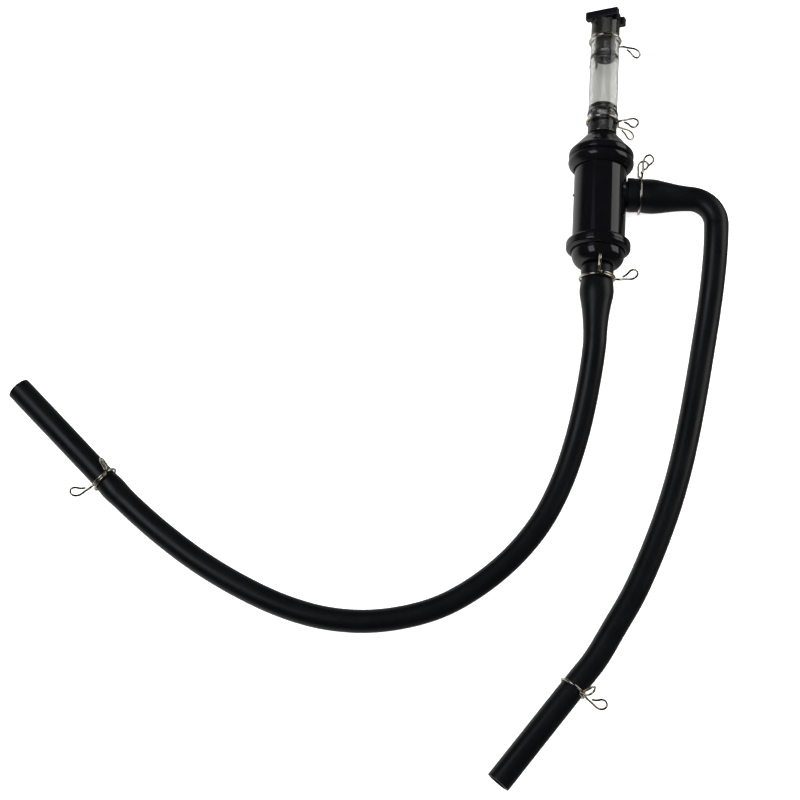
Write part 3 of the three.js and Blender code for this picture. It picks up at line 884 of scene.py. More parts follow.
@dataclass
class Caps:
    """The two screwed collars, the domed caps that they hold and the seals under them."""

    place: Place
    barrel_radius: float = 17.8
    fit: float = 0.3
    seal: float = 1.0
    top: float = 33.0
    bottom: float = -30.0
    flange_radius: float = 22.2
    flange_height: float = 4.2
    dome_height: float = 14.0
    tube_radius: float = 10.0
    tube_spigot: float = 7.7
    tube_spigot_bore: float = 5.4
    tube_spigot_length: float = 23.0
    collar_radius: float = 22.4
    collar_height: float = 8.2
    lower_collar_radius: float = 21.8
    lower_collar_height: float = 8.2
    lower_collar_reach: float = 3.8
    lower_flange: float = 4.4
    lower_dome: float = 8.8
    hose_spigot: float = 8.5
    hose_spigot_bore: float = 6.0
    hose_spigot_length: float = 22.0
    sleeve: float = 15.5
    skirt_wall: float = 2.0
    skirt_depth: float = 7.0

    def build(self) -> None:
        """Both caps, both collars and both seals."""
        self.top_cap()
        self.bottom_cap()
        self.top_collar()
        self.bottom_collar()
        for name, near, out in (("top_seal", self.top, 1), ("bottom_seal", self.bottom, -1)):
            self.seal_ring(name, near + out * self.fit, out)

    def top_cap(self) -> None:
        """The domed cap: skirt in the barrel, flange, dome and the barbed spigot in the sight tube."""
        foot = self.top + 2 * self.fit + self.seal
        shoulder = foot + self.flange_height
        neck = shoulder + self.dome_height
        tip = neck + self.tube_spigot_length
        inner = self.sleeve - self.skirt_wall
        r, s = self.flange_radius, self.tube_spigot
        reach = r - self.tube_radius
        profile = rounded(
            [
                (inner, foot - self.skirt_depth, 0.4),
                (self.sleeve, foot - self.skirt_depth, 0.6),
                (self.sleeve, foot, 0.2),
                (r - 1.0, foot, 0.5),
                (r, foot + 1.0, 0.5),
                (r, shoulder - 0.3, 1.0),
                (r - 0.9, shoulder + 1.1, 1.1),
                (self.tube_radius + reach * 0.68, shoulder + self.dome_height * 0.3, 2.0),
                (self.tube_radius + reach * 0.4, shoulder + self.dome_height * 0.6, 2.0),
                (self.tube_radius + reach * 0.12, shoulder + self.dome_height * 0.88, 1.2),
                (self.tube_radius - 0.3, neck, 0.5),
                (s, neck, 0.2),
                (s, tip - 8.5, 0.3),
                (s + 0.7, tip - 7.4, 0.3),
                (s + 0.7, tip - 6.6, 0.4),
                (s, tip - 5.6, 0.5),
                (s, tip - 0.9, 0.4),
                (s - 0.6, tip, 0.3),
                (self.tube_spigot_bore, tip, 0.3),
                (self.tube_spigot_bore, neck - 2, 1.5),
                (inner, shoulder, 2.0),
            ],
            steps=7,
        )
        self.place.add(self.place.turned("top_cap_dome", profile, 144), Slot.GLOSS, "canister", "top_cap")

    def top_collar(self) -> None:
        """The upper screwed collar: a plain band with a deep chamfer down to the barrel."""
        high = self.top + self.seal + self.fit
        low = high - self.collar_height
        r, bore = self.collar_radius, self.barrel_radius + self.fit
        profile = rounded(
            [
                (bore, low, 0.2),
                (r - 3.4, low, 0.5),
                (r - 0.9, low + 2.6, 1.2),
                (r, low + 4.4, 0.9),
                (r, high - 1.5, 0.7),
                (r - 1.2, high, 0.5),
                (bore, high, 0.3),
            ],
            steps=7,
        )
        band = self.place.turned("top_collar_band", profile, 144)
        self.place.add(band, Slot.GLOSS, "canister", "top_collar")

    def bottom_cap(self) -> None:
        """The bowl that holds the ball's seat, and the barbed spigot in the suction hose."""
        foot = self.bottom - 2 * self.fit - self.seal
        rim = foot - self.lower_flange
        shoulder = rim - self.lower_dome
        tip = shoulder - self.hose_spigot_length
        neck = self.hose_spigot + self.fit + 2
        s, inner = self.hose_spigot, self.sleeve - self.skirt_wall
        turn = np.linspace(0, np.pi / 2, 14)
        bowl = [
            (neck + (self.barrel_radius - neck) * c, rim - self.lower_dome * d, 0.0)
            for c, d in zip(np.cos(turn), np.sin(turn))
        ]
        profile = rounded(
            [
                (inner, foot, 0.3),
                (self.barrel_radius, foot, 0.3),
                *bowl,
                (s, shoulder, 0.2),
                (s, tip + 8.5, 0.3),
                (s + 0.7, tip + 7.4, 0.3),
                (s + 0.7, tip + 6.6, 0.4),
                (s, tip + 4, 0.6),
                (s - 0.7, tip, 0.6),
                (self.hose_spigot_bore, tip, 0.3),
                (self.hose_spigot_bore, shoulder + 2, 0.3),
                (self.hose_spigot_bore + 1.6, shoulder + 3, 0.5),
                (inner, rim, 1.0),
            ]
        )
        bowl = self.place.turned("bottom_cap_bowl", profile, 144)
        self.place.add(bowl, Slot.GLOSS, "canister", "bottom_cap")

    def bottom_collar(self) -> None:
        """The lower screwed collar: a band with a parting groove and a chamfer at each end."""
        high = self.bottom + self.lower_collar_reach
        low = high - self.lower_collar_height
        r, bore = self.lower_collar_radius, self.barrel_radius + self.fit
        groove = (high + low) / 2 - 0.4
        profile = rounded(
            [
                (bore, low, 0.3),
                (r - 2.6, low, 0.4),
                (r - 0.5, low + 1.2, 0.6),
                (r, low + 2.2, 0.6),
                (r, groove - 0.3, 0.12),
                (r - 0.25, groove, 0.08),
                (r, groove + 0.3, 0.12),
                (r, high - 2.2, 0.6),
                (r - 0.5, high - 1.1, 0.6),
                (r - 2.6, high, 0.5),
                (bore, high, 0.2),
            ],
            steps=7,
        )
        band = self.place.turned("bottom_collar_band", profile, 144)
        self.place.add(band, Slot.GLOSS, "canister", "bottom_collar")

    def seal_ring(self, name: str, near: float, out: int) -> None:
        """A flat rubber ring with rounded edges between the barrel and a cap."""
        bore, far = self.barrel_radius - self.skirt_wall, near + out * self.seal
        profile = rounded(
            [
                (bore, near, 0.35),
                (self.barrel_radius, near, 0.35),
                (self.barrel_radius, far, 0.35),
                (bore, far, 0.35),
            ]
        )
        self.place.add(self.place.turned(f"{name}_ring", profile), Slot.SEAL, "canister", name)


# ---- Inside the canister -------------------------------------------------------------------------------


@dataclass
class InnerWorks:
    """The non-return ball, the cage over it and the slotted strainer."""

    place: Place
    ball_radius: float = 6.8
    ball_lift: float = 4.0
    seat_y: float = -42.8
    seat_radius: float = 6.0
    clearance: float = 0.3
    sleeve: float = 15.5
    cage_foot: float = -31.3
    cage_plate: float = 2.0
    hole_radius: float = 2.6
    holes: int = 8
    cup_radius: float = 11.0
    cup_wall: float = 1.4
    cup_height: float = 42.0
    slot_size: tuple[float, float] = (1.2, 3.5)
    slot_rows: int = 3
    slot_columns: int = 8

    @property
    def ball_y(self) -> float:
        """Where the ball's centre is when it sits on its seat."""
        return self.seat_y + math.sqrt(self.ball_radius**2 - self.seat_radius**2) + self.clearance + 0.6

    @property
    def plate_y(self) -> float:
        """The underside of the cage's plate."""
        return self.ball_y + self.ball_radius + self.ball_lift + self.clearance

    def build(self) -> None:
        """The ball, its cage and the strainer."""
        self.ball()
        self.cage()
        self.strainer()

    def ball(self) -> None:
        """The ball: (radius·sin a, radius·cos a) turned, with the fine seam that its mould left."""
        turn = np.linspace(0, np.pi, 49)
        seam = 0.06 * np.exp(-(((turn - np.pi / 2) / 0.03) ** 2))
        radius = (self.ball_radius + seam) * np.sin(turn)
        profile = np.stack([radius, self.ball_y + self.ball_radius * np.cos(turn)], axis=1)
        profile[[0, -1], 0] = 0
        piece = self.place.turned("ball", profile, 64, closed=False)
        self.place.add(piece, Slot.BALL, "check_ball", "check_ball")

    def cage(self) -> None:
        """A plate with a ring of holes, on a rim that stands on the bottom cap."""
        top, rim = self.plate_y + self.cage_plate, self.sleeve - 1.6
        profile = rounded(
            [
                (0.0, self.plate_y, 0.0),
                (rim, self.plate_y, 1.0),
                (rim, self.cage_foot, 0.3),
                (self.sleeve, self.cage_foot, 0.3),
                (self.sleeve, top, 0.5),
                (0.0, top, 0.0),
            ],
            closed=False,
        )
        plate = self.place.turned("cage_plate", profile, 96, closed=False)
        drills = []
        for i in range(self.holes):
            turn = 2 * np.pi * i / self.holes
            centre = np.array([self.place.x, self.place.y, self.place.height])
            centre = centre + rim * 0.7 * (np.cos(turn) * X + np.sin(turn) * Z)
            drill = np.array([(self.hole_radius, self.plate_y - 1), (self.hole_radius, top + 1)])
            drills.append(skin("drill", Line.straight(centre, Y, 1.0).rings(drill, 24), closed=False))
        self.place.add(combined(plate, drills, "DIFFERENCE"), Slot.INNER, "canister", "ball_cage")

    def strainer(self) -> None:
        """A cup with rows of round-ended slots, standing mouth down on a foot that fits the barrel."""
        foot = self.plate_y + self.cage_plate + self.clearance
        top, bore = foot + self.cup_height, self.cup_radius - self.cup_wall
        profile = rounded(
            [
                (0.0, top - self.cup_wall, 0.0),
                (bore, top - self.cup_wall, 1.0),
                (bore, foot, 0.3),
                (self.sleeve, foot, 0.4),
                (self.sleeve, foot + self.cup_wall, 0.4),
                (self.cup_radius, foot + self.cup_wall, 0.6),
                (self.cup_radius, top, 1.6),
                (0.0, top, 0.0),
            ],
            closed=False,
        )
        cup = self.place.turned("strainer_cup", profile, 96, closed=False)
        pitch = (self.cup_height - 2 * self.cup_wall) / self.slot_rows
        cutters = []
        for row in range(self.slot_rows):
            for column in range(self.slot_columns // 2):
                turn = 2 * np.pi * column / self.slot_columns
                across = np.cos(turn) * X + np.sin(turn) * Z
                y = foot + self.cup_wall + pitch * (row + 0.5)
                middle = np.array([self.place.x, self.place.y + y, self.place.height])
                reach = 1.5 * self.cup_radius * across
                ends = np.stack([middle - reach, middle + reach])
                wide, high = self.slot_size
                line = Line(ends, np.stack([wide * np.cross(across, Y)] * 2), np.stack([high * Y] * 2))
                rings = line.rings(np.array([(1.0, 0.0), (1.0, line.length)]), 24, square=0.7)
                cutters.append(skin("slot", rings, closed=False))
        self.place.add(combined(cup, cutters, "DIFFERENCE"), Slot.INNER, "canister", "strainer")


# ---- Sight tube and stopper ------------------------------------------------------------------------------


@dataclass
class SightTube:
    """The clear tube on the top cap, stretched over the spigot's barb."""

    place: Place
    radius: float = 10.0
    wall: float = 2.0
    foot: float = 53.1
    length: float = 88.0
    spigot_tip: float = 75.8
    barb_from_tip: float = 7.0
    barb_lift: float = 0.7
    plug_length: float = 12.0
    stopper_length: float = 29.0
    stopper_lip: float = 2.8
    grip: float = 0.33

    def build(self) -> None:
        """The tube: it grips the spigot, the plug and its end lip, swells over the barb and is cut square.

        The bore is grip smaller where it grips, with a slope 2 mm long at the ends of the grip.
        """
        top, bore = self.foot + self.length, self.radius - self.wall
        stations = np.linspace(self.foot + 0.4, top - 0.4, 240)
        barb = self.spigot_tip - self.barb_from_tip
        swell = self.barb_lift * np.exp(-(((stations - barb) / 2.0) ** 2))
        end = top - self.stopper_length
        knots = [
            (self.spigot_tip - 0.5, 1.0),
            (self.spigot_tip + 1.5, 0.0),
            (end - 0.6, 0.0),
            (end + 0.2, 1.0),
            (end + self.stopper_lip, 1.0),
            (end + self.stopper_lip + 1.5, 0.0),
            (top - self.plug_length - 1.5, 0.0),
            (top - self.plug_length, 1.0),
        ]
        held = np.interp(stations, *zip(*knots))
        inside = bore - self.grip * held + swell
        outer = np.stack([self.radius + swell, stations], axis=1)
        inner = np.stack([inside, stations], axis=1)[::-1]
        mouth = [(self.radius - 0.25, top), (inside[-1] + 0.25, top)]
        root = [(inside[0] + 0.25, self.foot), (self.radius - 0.25, self.foot)]
        profile = np.vstack([outer, mouth, inner, root])
        piece = self.place.turned("clear_tube", profile, 128, sharp=60)
        self.place.add(piece, Slot.CLEAR, "canister", "sight_tube")


@dataclass
class Stopper:
    """The elastomer plug in the tube's open end, with a head of two finger bars round a hub."""

    place: Place
    tube_top: float = 141.1
    plug_radius: float = 7.7
    gap: float = 0.3
    plug_length: float = 12.0
    length: float = 29.0
    waist_radius: float = 6.9
    lip: float = 2.8
    bore_radius: float = 3.4
    bore_depth: float = 24.0
    head_length: float = 24.0
    head_width: float = 19.0
    head_height: float = 6.0
    bar: float = 5.2
    hub_radius: float = 10.4
    turn_degrees: float = 27.0
    edge: float = 0.55

    def outline(self) -> np.ndarray:
        """The head's outline: two bars joined by the hub's arcs, with every corner rounded."""
        x, z = self.head_length / 2, self.head_width / 2
        notch = z - self.bar
        swing = math.asin(notch / self.hub_radius)
        turns = np.linspace(-swing, swing, 9)
        arc = [(self.hub_radius * math.cos(a), self.hub_radius * math.sin(a), 0.0) for a in turns]
        right = [(x, -z, 1.4), (x, -notch, 1.1), *arc, (x, notch, 1.1), (x, z, 1.4)]
        left = [(-a, -b, c) for a, b, c in right]
        return rounded([*right, *left], steps=6)

    def head(self) -> bpy.types.Object:
        """The head: its outline drawn in by edge·(1 - sin a) as it rises by edge·cos a, at both faces."""
        outline = self.outline()
        run = unit(np.roll(outline, -1, 0) - np.roll(outline, 1, 0))
        outward = np.stack([run[:, 1], -run[:, 0]], axis=1)
        bend = np.linspace(0, np.pi / 2, 6)
        inset = self.edge * (1 - np.sin(bend))
        rise = self.edge * (1 - np.cos(bend))
        base = self.tube_top + self.gap
        heights = np.r_[base + rise, base + self.head_height - rise[::-1]]
        insets = np.r_[inset, inset[::-1]]
        flat = outline[None] - insets[:, None, None] * outward[None]
        turn = math.radians(self.turn_degrees)
        across = math.cos(turn) * X + math.sin(turn) * Z
        high = -math.sin(turn) * X + math.cos(turn) * Z
        centre = np.array([self.place.x, self.place.y, self.place.height])
        rings = (
            centre
            + flat[..., :1] * across
            + flat[..., 1:] * high
            + heights[:, None, None] * Y
        )
        return skin("stopper_moulding", rings, closed=False)

    def build(self) -> None:
        """The head, the plug with its waist and end lip, and the hollow up its middle."""
        top, end = self.tube_top, self.tube_top - self.length
        plug_end = top - self.plug_length
        r, waist = self.plug_radius, self.waist_radius
        profile = rounded(
            [
                (0.0, top + self.gap + 1, 0.0),
                (r, top + self.gap + 1, 0.0),
                (r, plug_end + 1, 0.4),
                (r - 0.8, plug_end, 0.6),
                (waist, plug_end - 0.8, 0.6),
                (waist, end + self.lip, 0.8),
                (r - 0.2, end + self.lip, 0.5),
                (r, end + self.lip - 0.5, 0.3),
                (r, end + 0.4, 0.4),
                (r - 0.7, end, 0.4),
                (self.bore_radius + 1.4, end + 0.15, 0.4),
                (self.bore_radius, end + 0.9, 0.4),
                (self.bore_radius, end + self.bore_depth, 0.8),
                (0.0, end + self.bore_depth, 0.0),
            ],
            closed=False,
        )
        plug = self.place.turned("plug", profile, 96, closed=False)
        piece = combined(self.head(), [plug], "UNION", 30)
        self.place.add(piece, Slot.STOPPER, "stopper", "stopper")


# ---- Hoses -------------------------------------------------------------------------------------------------


def hose_profile(
    outer: np.ndarray, inner: np.ndarray, stations: np.ndarray, edge: float = 0.5, steps: int = 5
) -> np.ndarray:
    """A hose's wall as one closed profile: out along its outside, round the cut end and back inside.

    Each end's two corners are quarter circles of radius edge.

    Args:
        outer: the outer radius at each station.
        inner: the bore's radius at each station.
        stations: from the root to the free end.
        edge: the corners' radius.
        steps: points on a corner.

    Returns:
        Rows of (radius, station).
    """
    bend = np.linspace(0, np.pi / 2, steps)
    cosine, sine = np.cos(bend), np.sin(bend)
    wall = stations[(stations > stations[0] + edge) & (stations < stations[-1] - edge)]
    start, stop = stations[0], stations[-1]
    corners = [
        (outer[-1] - edge * (1 - cosine), stop - edge * (1 - sine)),
        (inner[-1] + edge * (1 - sine), stop - edge * (1 - cosine)),
        (inner[0] + edge * (1 - cosine), start + edge * (1 - sine)),
        (outer[0] - edge * (1 - sine), start + edge * (1 - cosine)),
    ]
    out = np.stack([np.interp(wall, stations, outer), wall], axis=1)
    back = np.stack([np.interp(wall, stations, inner), wall], axis=1)[::-1]
    far_out, far_in, near_in, near_out = (np.stack(c, axis=1) for c in corners)
    return np.vstack([out, far_out, far_in, back, near_in, near_out])


@dataclass
class SuctionHose:
    """The longer hose, moulded in one with the cuff on the bottom cap's spigot."""

    place: Place
    shoulder_y: float = -45.1
    bore: float = 6.0
    spigot_bore: float = 8.8
    spigot_length: float = 24.0
    cad_radius: float = 8.0
    clamp_from_end: float = 87.4
    # X, Y and Z in canister coordinates. The last stretch lies just off the floor, on its clamp.
    route: tuple[tuple[float, float, float], ...] = (
        (0, -92.6, 22.4), (0, -98, 22.3), (-1, -112, 20.2), (-4, -137, 15), (-9, -164, 10.4),
        (-17, -192, 8.2), (-29, -219, 8.2), (-46, -243, 8.2), (-68, -264, 8.2), (-91, -279, 8.2),
        (-116, -288, 8.2), (-141, -292, 8.2), (-167, -291, 8.2), (-193, -285, 8.3), (-219, -275, 8.6),
        (-245, -262, 9.1), (-266, -249, 9.6), (-285, -235.5, 10), (-303, -221, 10), (-322, -203.9, 10),
        (-341, -186.8, 10), (-360, -169.7, 10), (-379, -152.6, 10),
    )  # fmt: skip
    # Outer radius at stations from the root: lip, clamp's neck, barb's bulge, taper, and the hose's own wall.
    cuff: tuple[tuple[float, float], ...] = (
        (0, 10.7), (3, 10.8), (8.5, 10.45), (13, 11.0), (17, 11.3), (21, 11.05), (25, 10.3), (31, 9.3),
        (38, 8.45), (46, 7.9), (60, 7.65),
    )  # fmt: skip
    hose: tuple[tuple[float, float], ...] = ((120, 7.55), (230, 7.3), (330, 7.4), (430, 7.6))
    swell_at_clamp: float = 0.5

    def radius(self, stations: np.ndarray, length: float) -> np.ndarray:
        """The outer radius at each station.

        Args:
            stations: distances from the root.
            length: the whole hose's length.

        Returns:
            The radius, with the neck under the end clamp and the swelling beside it.
        """
        clamp = length - self.clamp_from_end
        knots = [*self.cuff, *self.hose, (clamp - 40, 7.65), (clamp + 30, 7.8), (length, 7.95)]
        neck = -0.12 * np.exp(-(((stations - clamp) / 2.2) ** 2))
        swell = self.swell_at_clamp * np.exp(-(((stations - clamp + 9) / 6) ** 2))
        return eased(stations, knots) + neck + swell

    def line(self) -> Line:
        """The centre line, lowered where the hose is thinner than its CAD solid so that it lies down."""
        root = [(0, self.shoulder_y, 22.407), (0, -61, 22.407), (0, -77, 22.407)]
        knots = self.place.on_floor([*root, *self.route])
        return rested(knots, self.radius, self.cad_radius)

    def build(self, clamp: bpy.types.Object) -> None:
        """The hose as one wall from its root to its cut end.

        Args:
            clamp: the clamp that is parked on it; not used.
        """
        line = self.line()
        stations = np.linspace(0, line.length, 420)
        fits = [0, self.spigot_length, self.spigot_length + 8]
        bore = np.interp(stations, fits, [self.spigot_bore, self.spigot_bore, self.bore])
        outer = self.radius(stations, line.length)
        bore = np.minimum(bore, outer - 1.5)
        wall = hose_profile(outer, bore, stations)
        piece = skin("suction_hose_wall", line.rings(wall, 56, oval=0.012), closed=True)
        self.place.add(piece, Slot.RUBBER, "canister", "suction_hose", "suction_hose_cuff")
        LOG.info("suction_hose is %.1f mm long", line.length)


def rested(knots: np.ndarray, radius: Any, cad_radius: float) -> Line:
    """A hose's centre line through knots, lowered by what the hose is thinner than cad_radius.

    It stays clear of the floor by 1.5 % of its radius.

    Args:
        knots: the points of its route.
        radius: gives the outer radius from stations and the length.
        cad_radius: the radius that the route's heights are made for.

    Returns:
        The line, with its sides level.
    """
    rough = Line.level(smooth_line(knots))
    even = np.linspace(0, rough.length, 400)
    points = np.stack([np.interp(even, rough.along, rough.points[:, i]) for i in range(3)], axis=1)
    thick = radius(even, rough.length)
    points[:, 2] = np.maximum(points[:, 2] - np.clip(cad_radius - thick, 0, None), 1.015 * thick)
    return Line.level(points)


@dataclass
class OutletHose:
    """The shorter hose: a stiff moulded elbow on the side port, and the free hose beyond it."""

    place: Place
    face_x: float = 18.4
    port_y: float = 9.5
    cuff_length: float = 43.0
    bend_radius: float = 18.0
    bore: float = 6.0
    spigot_bore: float = 9.3
    spigot_length: float = 23.0
    cad_radius: float = 8.0
    clamp_from_end: float = 75.0
    elbow_radius: float = 8.3
    # X, Y and Z in canister coordinates.
    route: tuple[tuple[float, float, float], ...] = (
        (79.4, -9, 22.4), (79.4, -14, 22.3), (79.3, -24, 21.3), (78.6, -42, 18), (76.8, -66, 12.8),
        (73.5, -94, 9.2), (69.5, -123, 8.2), (65, -151, 8.2), (59.5, -179, 8.2), (52.5, -206, 8.2),
        (42.5, -236, 8.5), (31.5, -263, 9.2), (20, -285, 9.8), (8.4, -306.4, 10), (-3, -322.3, 10),
        (-14.5, -338.3, 10), (-26, -354.3, 10), (-37.5, -370.3, 10), (-49, -386.3, 10),
    )  # fmt: skip
    # Outer radius at stations from the barrel.
    cuff: tuple[tuple[float, float], ...] = (
        (0, 11.6), (3, 11.7), (8.5, 11.3), (13, 11.7), (18, 11.75), (22, 11.2), (26, 10.5), (32, 9.5),
        (38, 8.75), (44, 8.4), (58, 8.3), (72, 8.3),
    )  # fmt: skip

    def elbow_line(self) -> Line:
        """Straight out of the port, then a quarter turn of (R·sin a, R·cos a) towards the bottom cap."""
        turn = np.linspace(0, np.pi / 2, 49)
        bend_x = self.face_x + self.cuff_length + self.bend_radius * np.sin(turn)
        bend_y = self.port_y - self.bend_radius * (1 - np.cos(turn))
        run = np.linspace(self.face_x, self.face_x + self.cuff_length, 60)[:-1]
        plan = np.vstack(
            [np.stack([run, np.full_like(run, self.port_y)], axis=1), np.stack([bend_x, bend_y], axis=1)]
        )
        last = [(self.face_x + self.cuff_length + self.bend_radius, self.route[0][1])]
        plan = np.vstack([plan, last])
        height = np.full(len(plan), self.place.height)
        return Line.level(self.place.on_floor(np.column_stack([plan, height])))

    def radius(self, stations: np.ndarray, length: float) -> np.ndarray:
        """The free hose's outer radius at each station from the elbow, with the end clamp's neck."""
        clamp = length - self.clamp_from_end
        free = [(25, 8.15), (60, 8.05), (150, 7.95), (length - 40, 7.95), (length, 8.0)]
        knots = [(0, self.elbow_radius), *free]
        neck = -0.12 * np.exp(-(((stations - clamp) / 2.2) ** 2))
        return eased(stations, knots) + neck

    def build(self, clamp: bpy.types.Object) -> None:
        """The elbow and the free hose, which meet flush.

        Args:
            clamp: the clamp that is parked on the free hose; not used.
        """
        bend = self.elbow_line()
        stations = np.linspace(0, bend.length, 130)
        outer = eased(stations, self.cuff)
        fits = [0, self.spigot_length, self.spigot_length + 8]
        bore = np.interp(stations, fits, [self.spigot_bore, self.spigot_bore, self.bore])
        outer[-1] = self.elbow_radius
        wall = hose_profile(outer, np.minimum(bore, outer - 1.5), stations, edge=0.05)
        elbow = skin("elbow_wall", bend.rings(wall, 56), closed=True)
        self.place.add(elbow, Slot.RUBBER, "canister", "outlet_hose_elbow")

        line = rested(self.place.on_floor(self.route), self.radius, self.cad_radius)
        stations = np.linspace(0, line.length, 300)
        outer = self.radius(stations, line.length)
        wall = hose_profile(outer, np.full_like(outer, self.bore), stations, edge=0.05)
        free = skin("outlet_hose_wall", line.rings(wall, 56, oval=0.0), closed=True)
        self.place.add(free, Slot.RUBBER, "canister", "outlet_hose")
        LOG.info("outlet_hose is %.1f mm long past its elbow", line.length)


# ---- Clamps ------------------------------------------------------------------------------------------------


@dataclass
class SpringClamp:
    """A hose clamp bent from one wire: an ear, a turn and a bit round the hose, and an ear."""

    name: str
    point: tuple[float, float, float]
    axis: tuple[float, float, float]
    grip_radius: float
    first_ear: float
    last_ear: float
    loops: Loops
    lean: float = 0.0
    skew: float = 0.0
    wire: float = 0.75
    gap: float = 0.12
    pitch: float = 1.7
    stem: float = 12.0
    loop: float = 3.4

    def ear(self, angle: float, station: float, lean: float) -> np.ndarray:
        """An ear's points: out along its stem, round its loop and back to the stem."""
        r, gap = self.loop, 2 * self.wire + 0.02
        flat = np.array(
            [
                (2.4, 0.0), (self.stem * 0.5, 0.0), (self.stem, 0.1), (self.stem + r * 0.8, r * 0.55),
                (self.stem + r, r * 1.25), (self.stem + r * 0.35, r * 1.95), (self.stem - r * 0.4, r * 1.8),
                (self.stem * 0.66, r * 0.95), (self.stem * 0.42, gap),
            ]
        )  # fmt: skip
        tip = math.radians(lean)
        u, v = flat[:, :1], flat[:, 1:]
        out = math.cos(angle) * X + math.sin(angle) * Y
        reach = self.grip_radius + self.gap + self.wire + u * math.cos(tip) - v * math.sin(tip)
        rise = u * math.sin(tip) + v * math.cos(tip)
        return station * Z + reach * out + self.loops.value * rise * Z

    def knots(self) -> np.ndarray:
        """The wire's points about its own Z axis, with the ring as a shallow helix between the ears."""
        side, radius = self.loops.value, self.grip_radius + self.gap + self.wire
        first, last = math.radians(self.first_ear), math.radians(self.last_ear + 360)
        turn = np.linspace(first + 0.16, last - 0.16, 45)
        rise = self.pitch * ((turn - first) / (2 * np.pi) - 0.55) * side
        ring = np.stack([radius * np.cos(turn), radius * np.sin(turn), rise], axis=1)
        return np.vstack([self.ear(first, rise[0], self.lean)[::-1], ring, self.ear(last, rise[-1], 0.0)])

    def build(self, place: Place) -> bpy.types.Object:
        """The wire, round and with its cut ends rounded, on the hose where the frame has it."""
        z = unit(np.array(self.axis, float))
        x = unit(np.cross(Z, z))
        y = np.cross(z, x)
        tilt = math.radians(self.skew)
        local = self.knots()
        local = np.column_stack([local[:, :2], local[:, 2] + math.tan(tilt) * local[:, 0]])
        centre = place.on_floor([self.point])[0]
        knots = centre + local @ np.stack([x, y, z])
        points = smooth_line(knots, 10)
        line = Line.untwisted(points, z)
        ease = self.wire * np.array([0.0, 0.3, 0.7, 1.0])
        sine = np.sqrt(1 - (1 - ease / self.wire) ** 2)
        body = np.linspace(ease[-1], line.length - ease[-1], 300)
        stations = np.r_[ease[:-1], body, line.length - ease[:-1][::-1]]
        radii = self.wire * np.r_[sine[:-1], np.ones(len(body)), sine[:-1][::-1]]
        rings = line.rings(np.stack([radii, stations], axis=1), 16)
        piece = skin(f"{self.name}_wire", rings, closed=False, sharp=80)
        return place.add(piece, Slot.WIRE, self.name, self.name)


def clamps_on_canister() -> list[SpringClamp]:
    """The four clamps on the canister's tube, spigot and side port."""
    axis_z = 22.407
    down, right = (0.0, -1.0, 0.0), (1.0, 0.0, 0.0)
    return [
        SpringClamp("tube_top_clamp", (0, 126.6, axis_z), down, 10.0, -112, -14, Loops.FORWARD, lean=38),
        SpringClamp("tube_bottom_clamp", (0, 63.1, axis_z), down, 10.0, -28, 28, Loops.FORWARD),
        SpringClamp("bottom_port_clamp", (0, -53.6, axis_z), down, 10.9, 15, 92, Loops.BACK),
        SpringClamp("side_port_clamp", (26.9, 9.5, axis_z), right, 11.5, -6, 25, Loops.FORWARD),
    ]


def clamp_on_end(
    name: str,
    route: Sequence[tuple[float, float, float]],
    distance: float,
    ears: tuple[float, float],
    loops: Loops,
) -> SpringClamp:
    """A clamp parked on the straight end of a hose.

    Args:
        name: the clamp's name.
        route: the hose's route.
        distance: how far the clamp is from the hose's end.
        ears: the angles of its ears.
        loops: the way that its ear loops point.

    Returns:
        The clamp.
    """
    before, end = (np.array(p, float) for p in route[-2:])
    back = unit(before - end)
    point = end + back * distance
    return SpringClamp(name, tuple(point), tuple(back), 8.0, *ears, loops)


# ---- Studio ------------------------------------------------------------------------------------------------


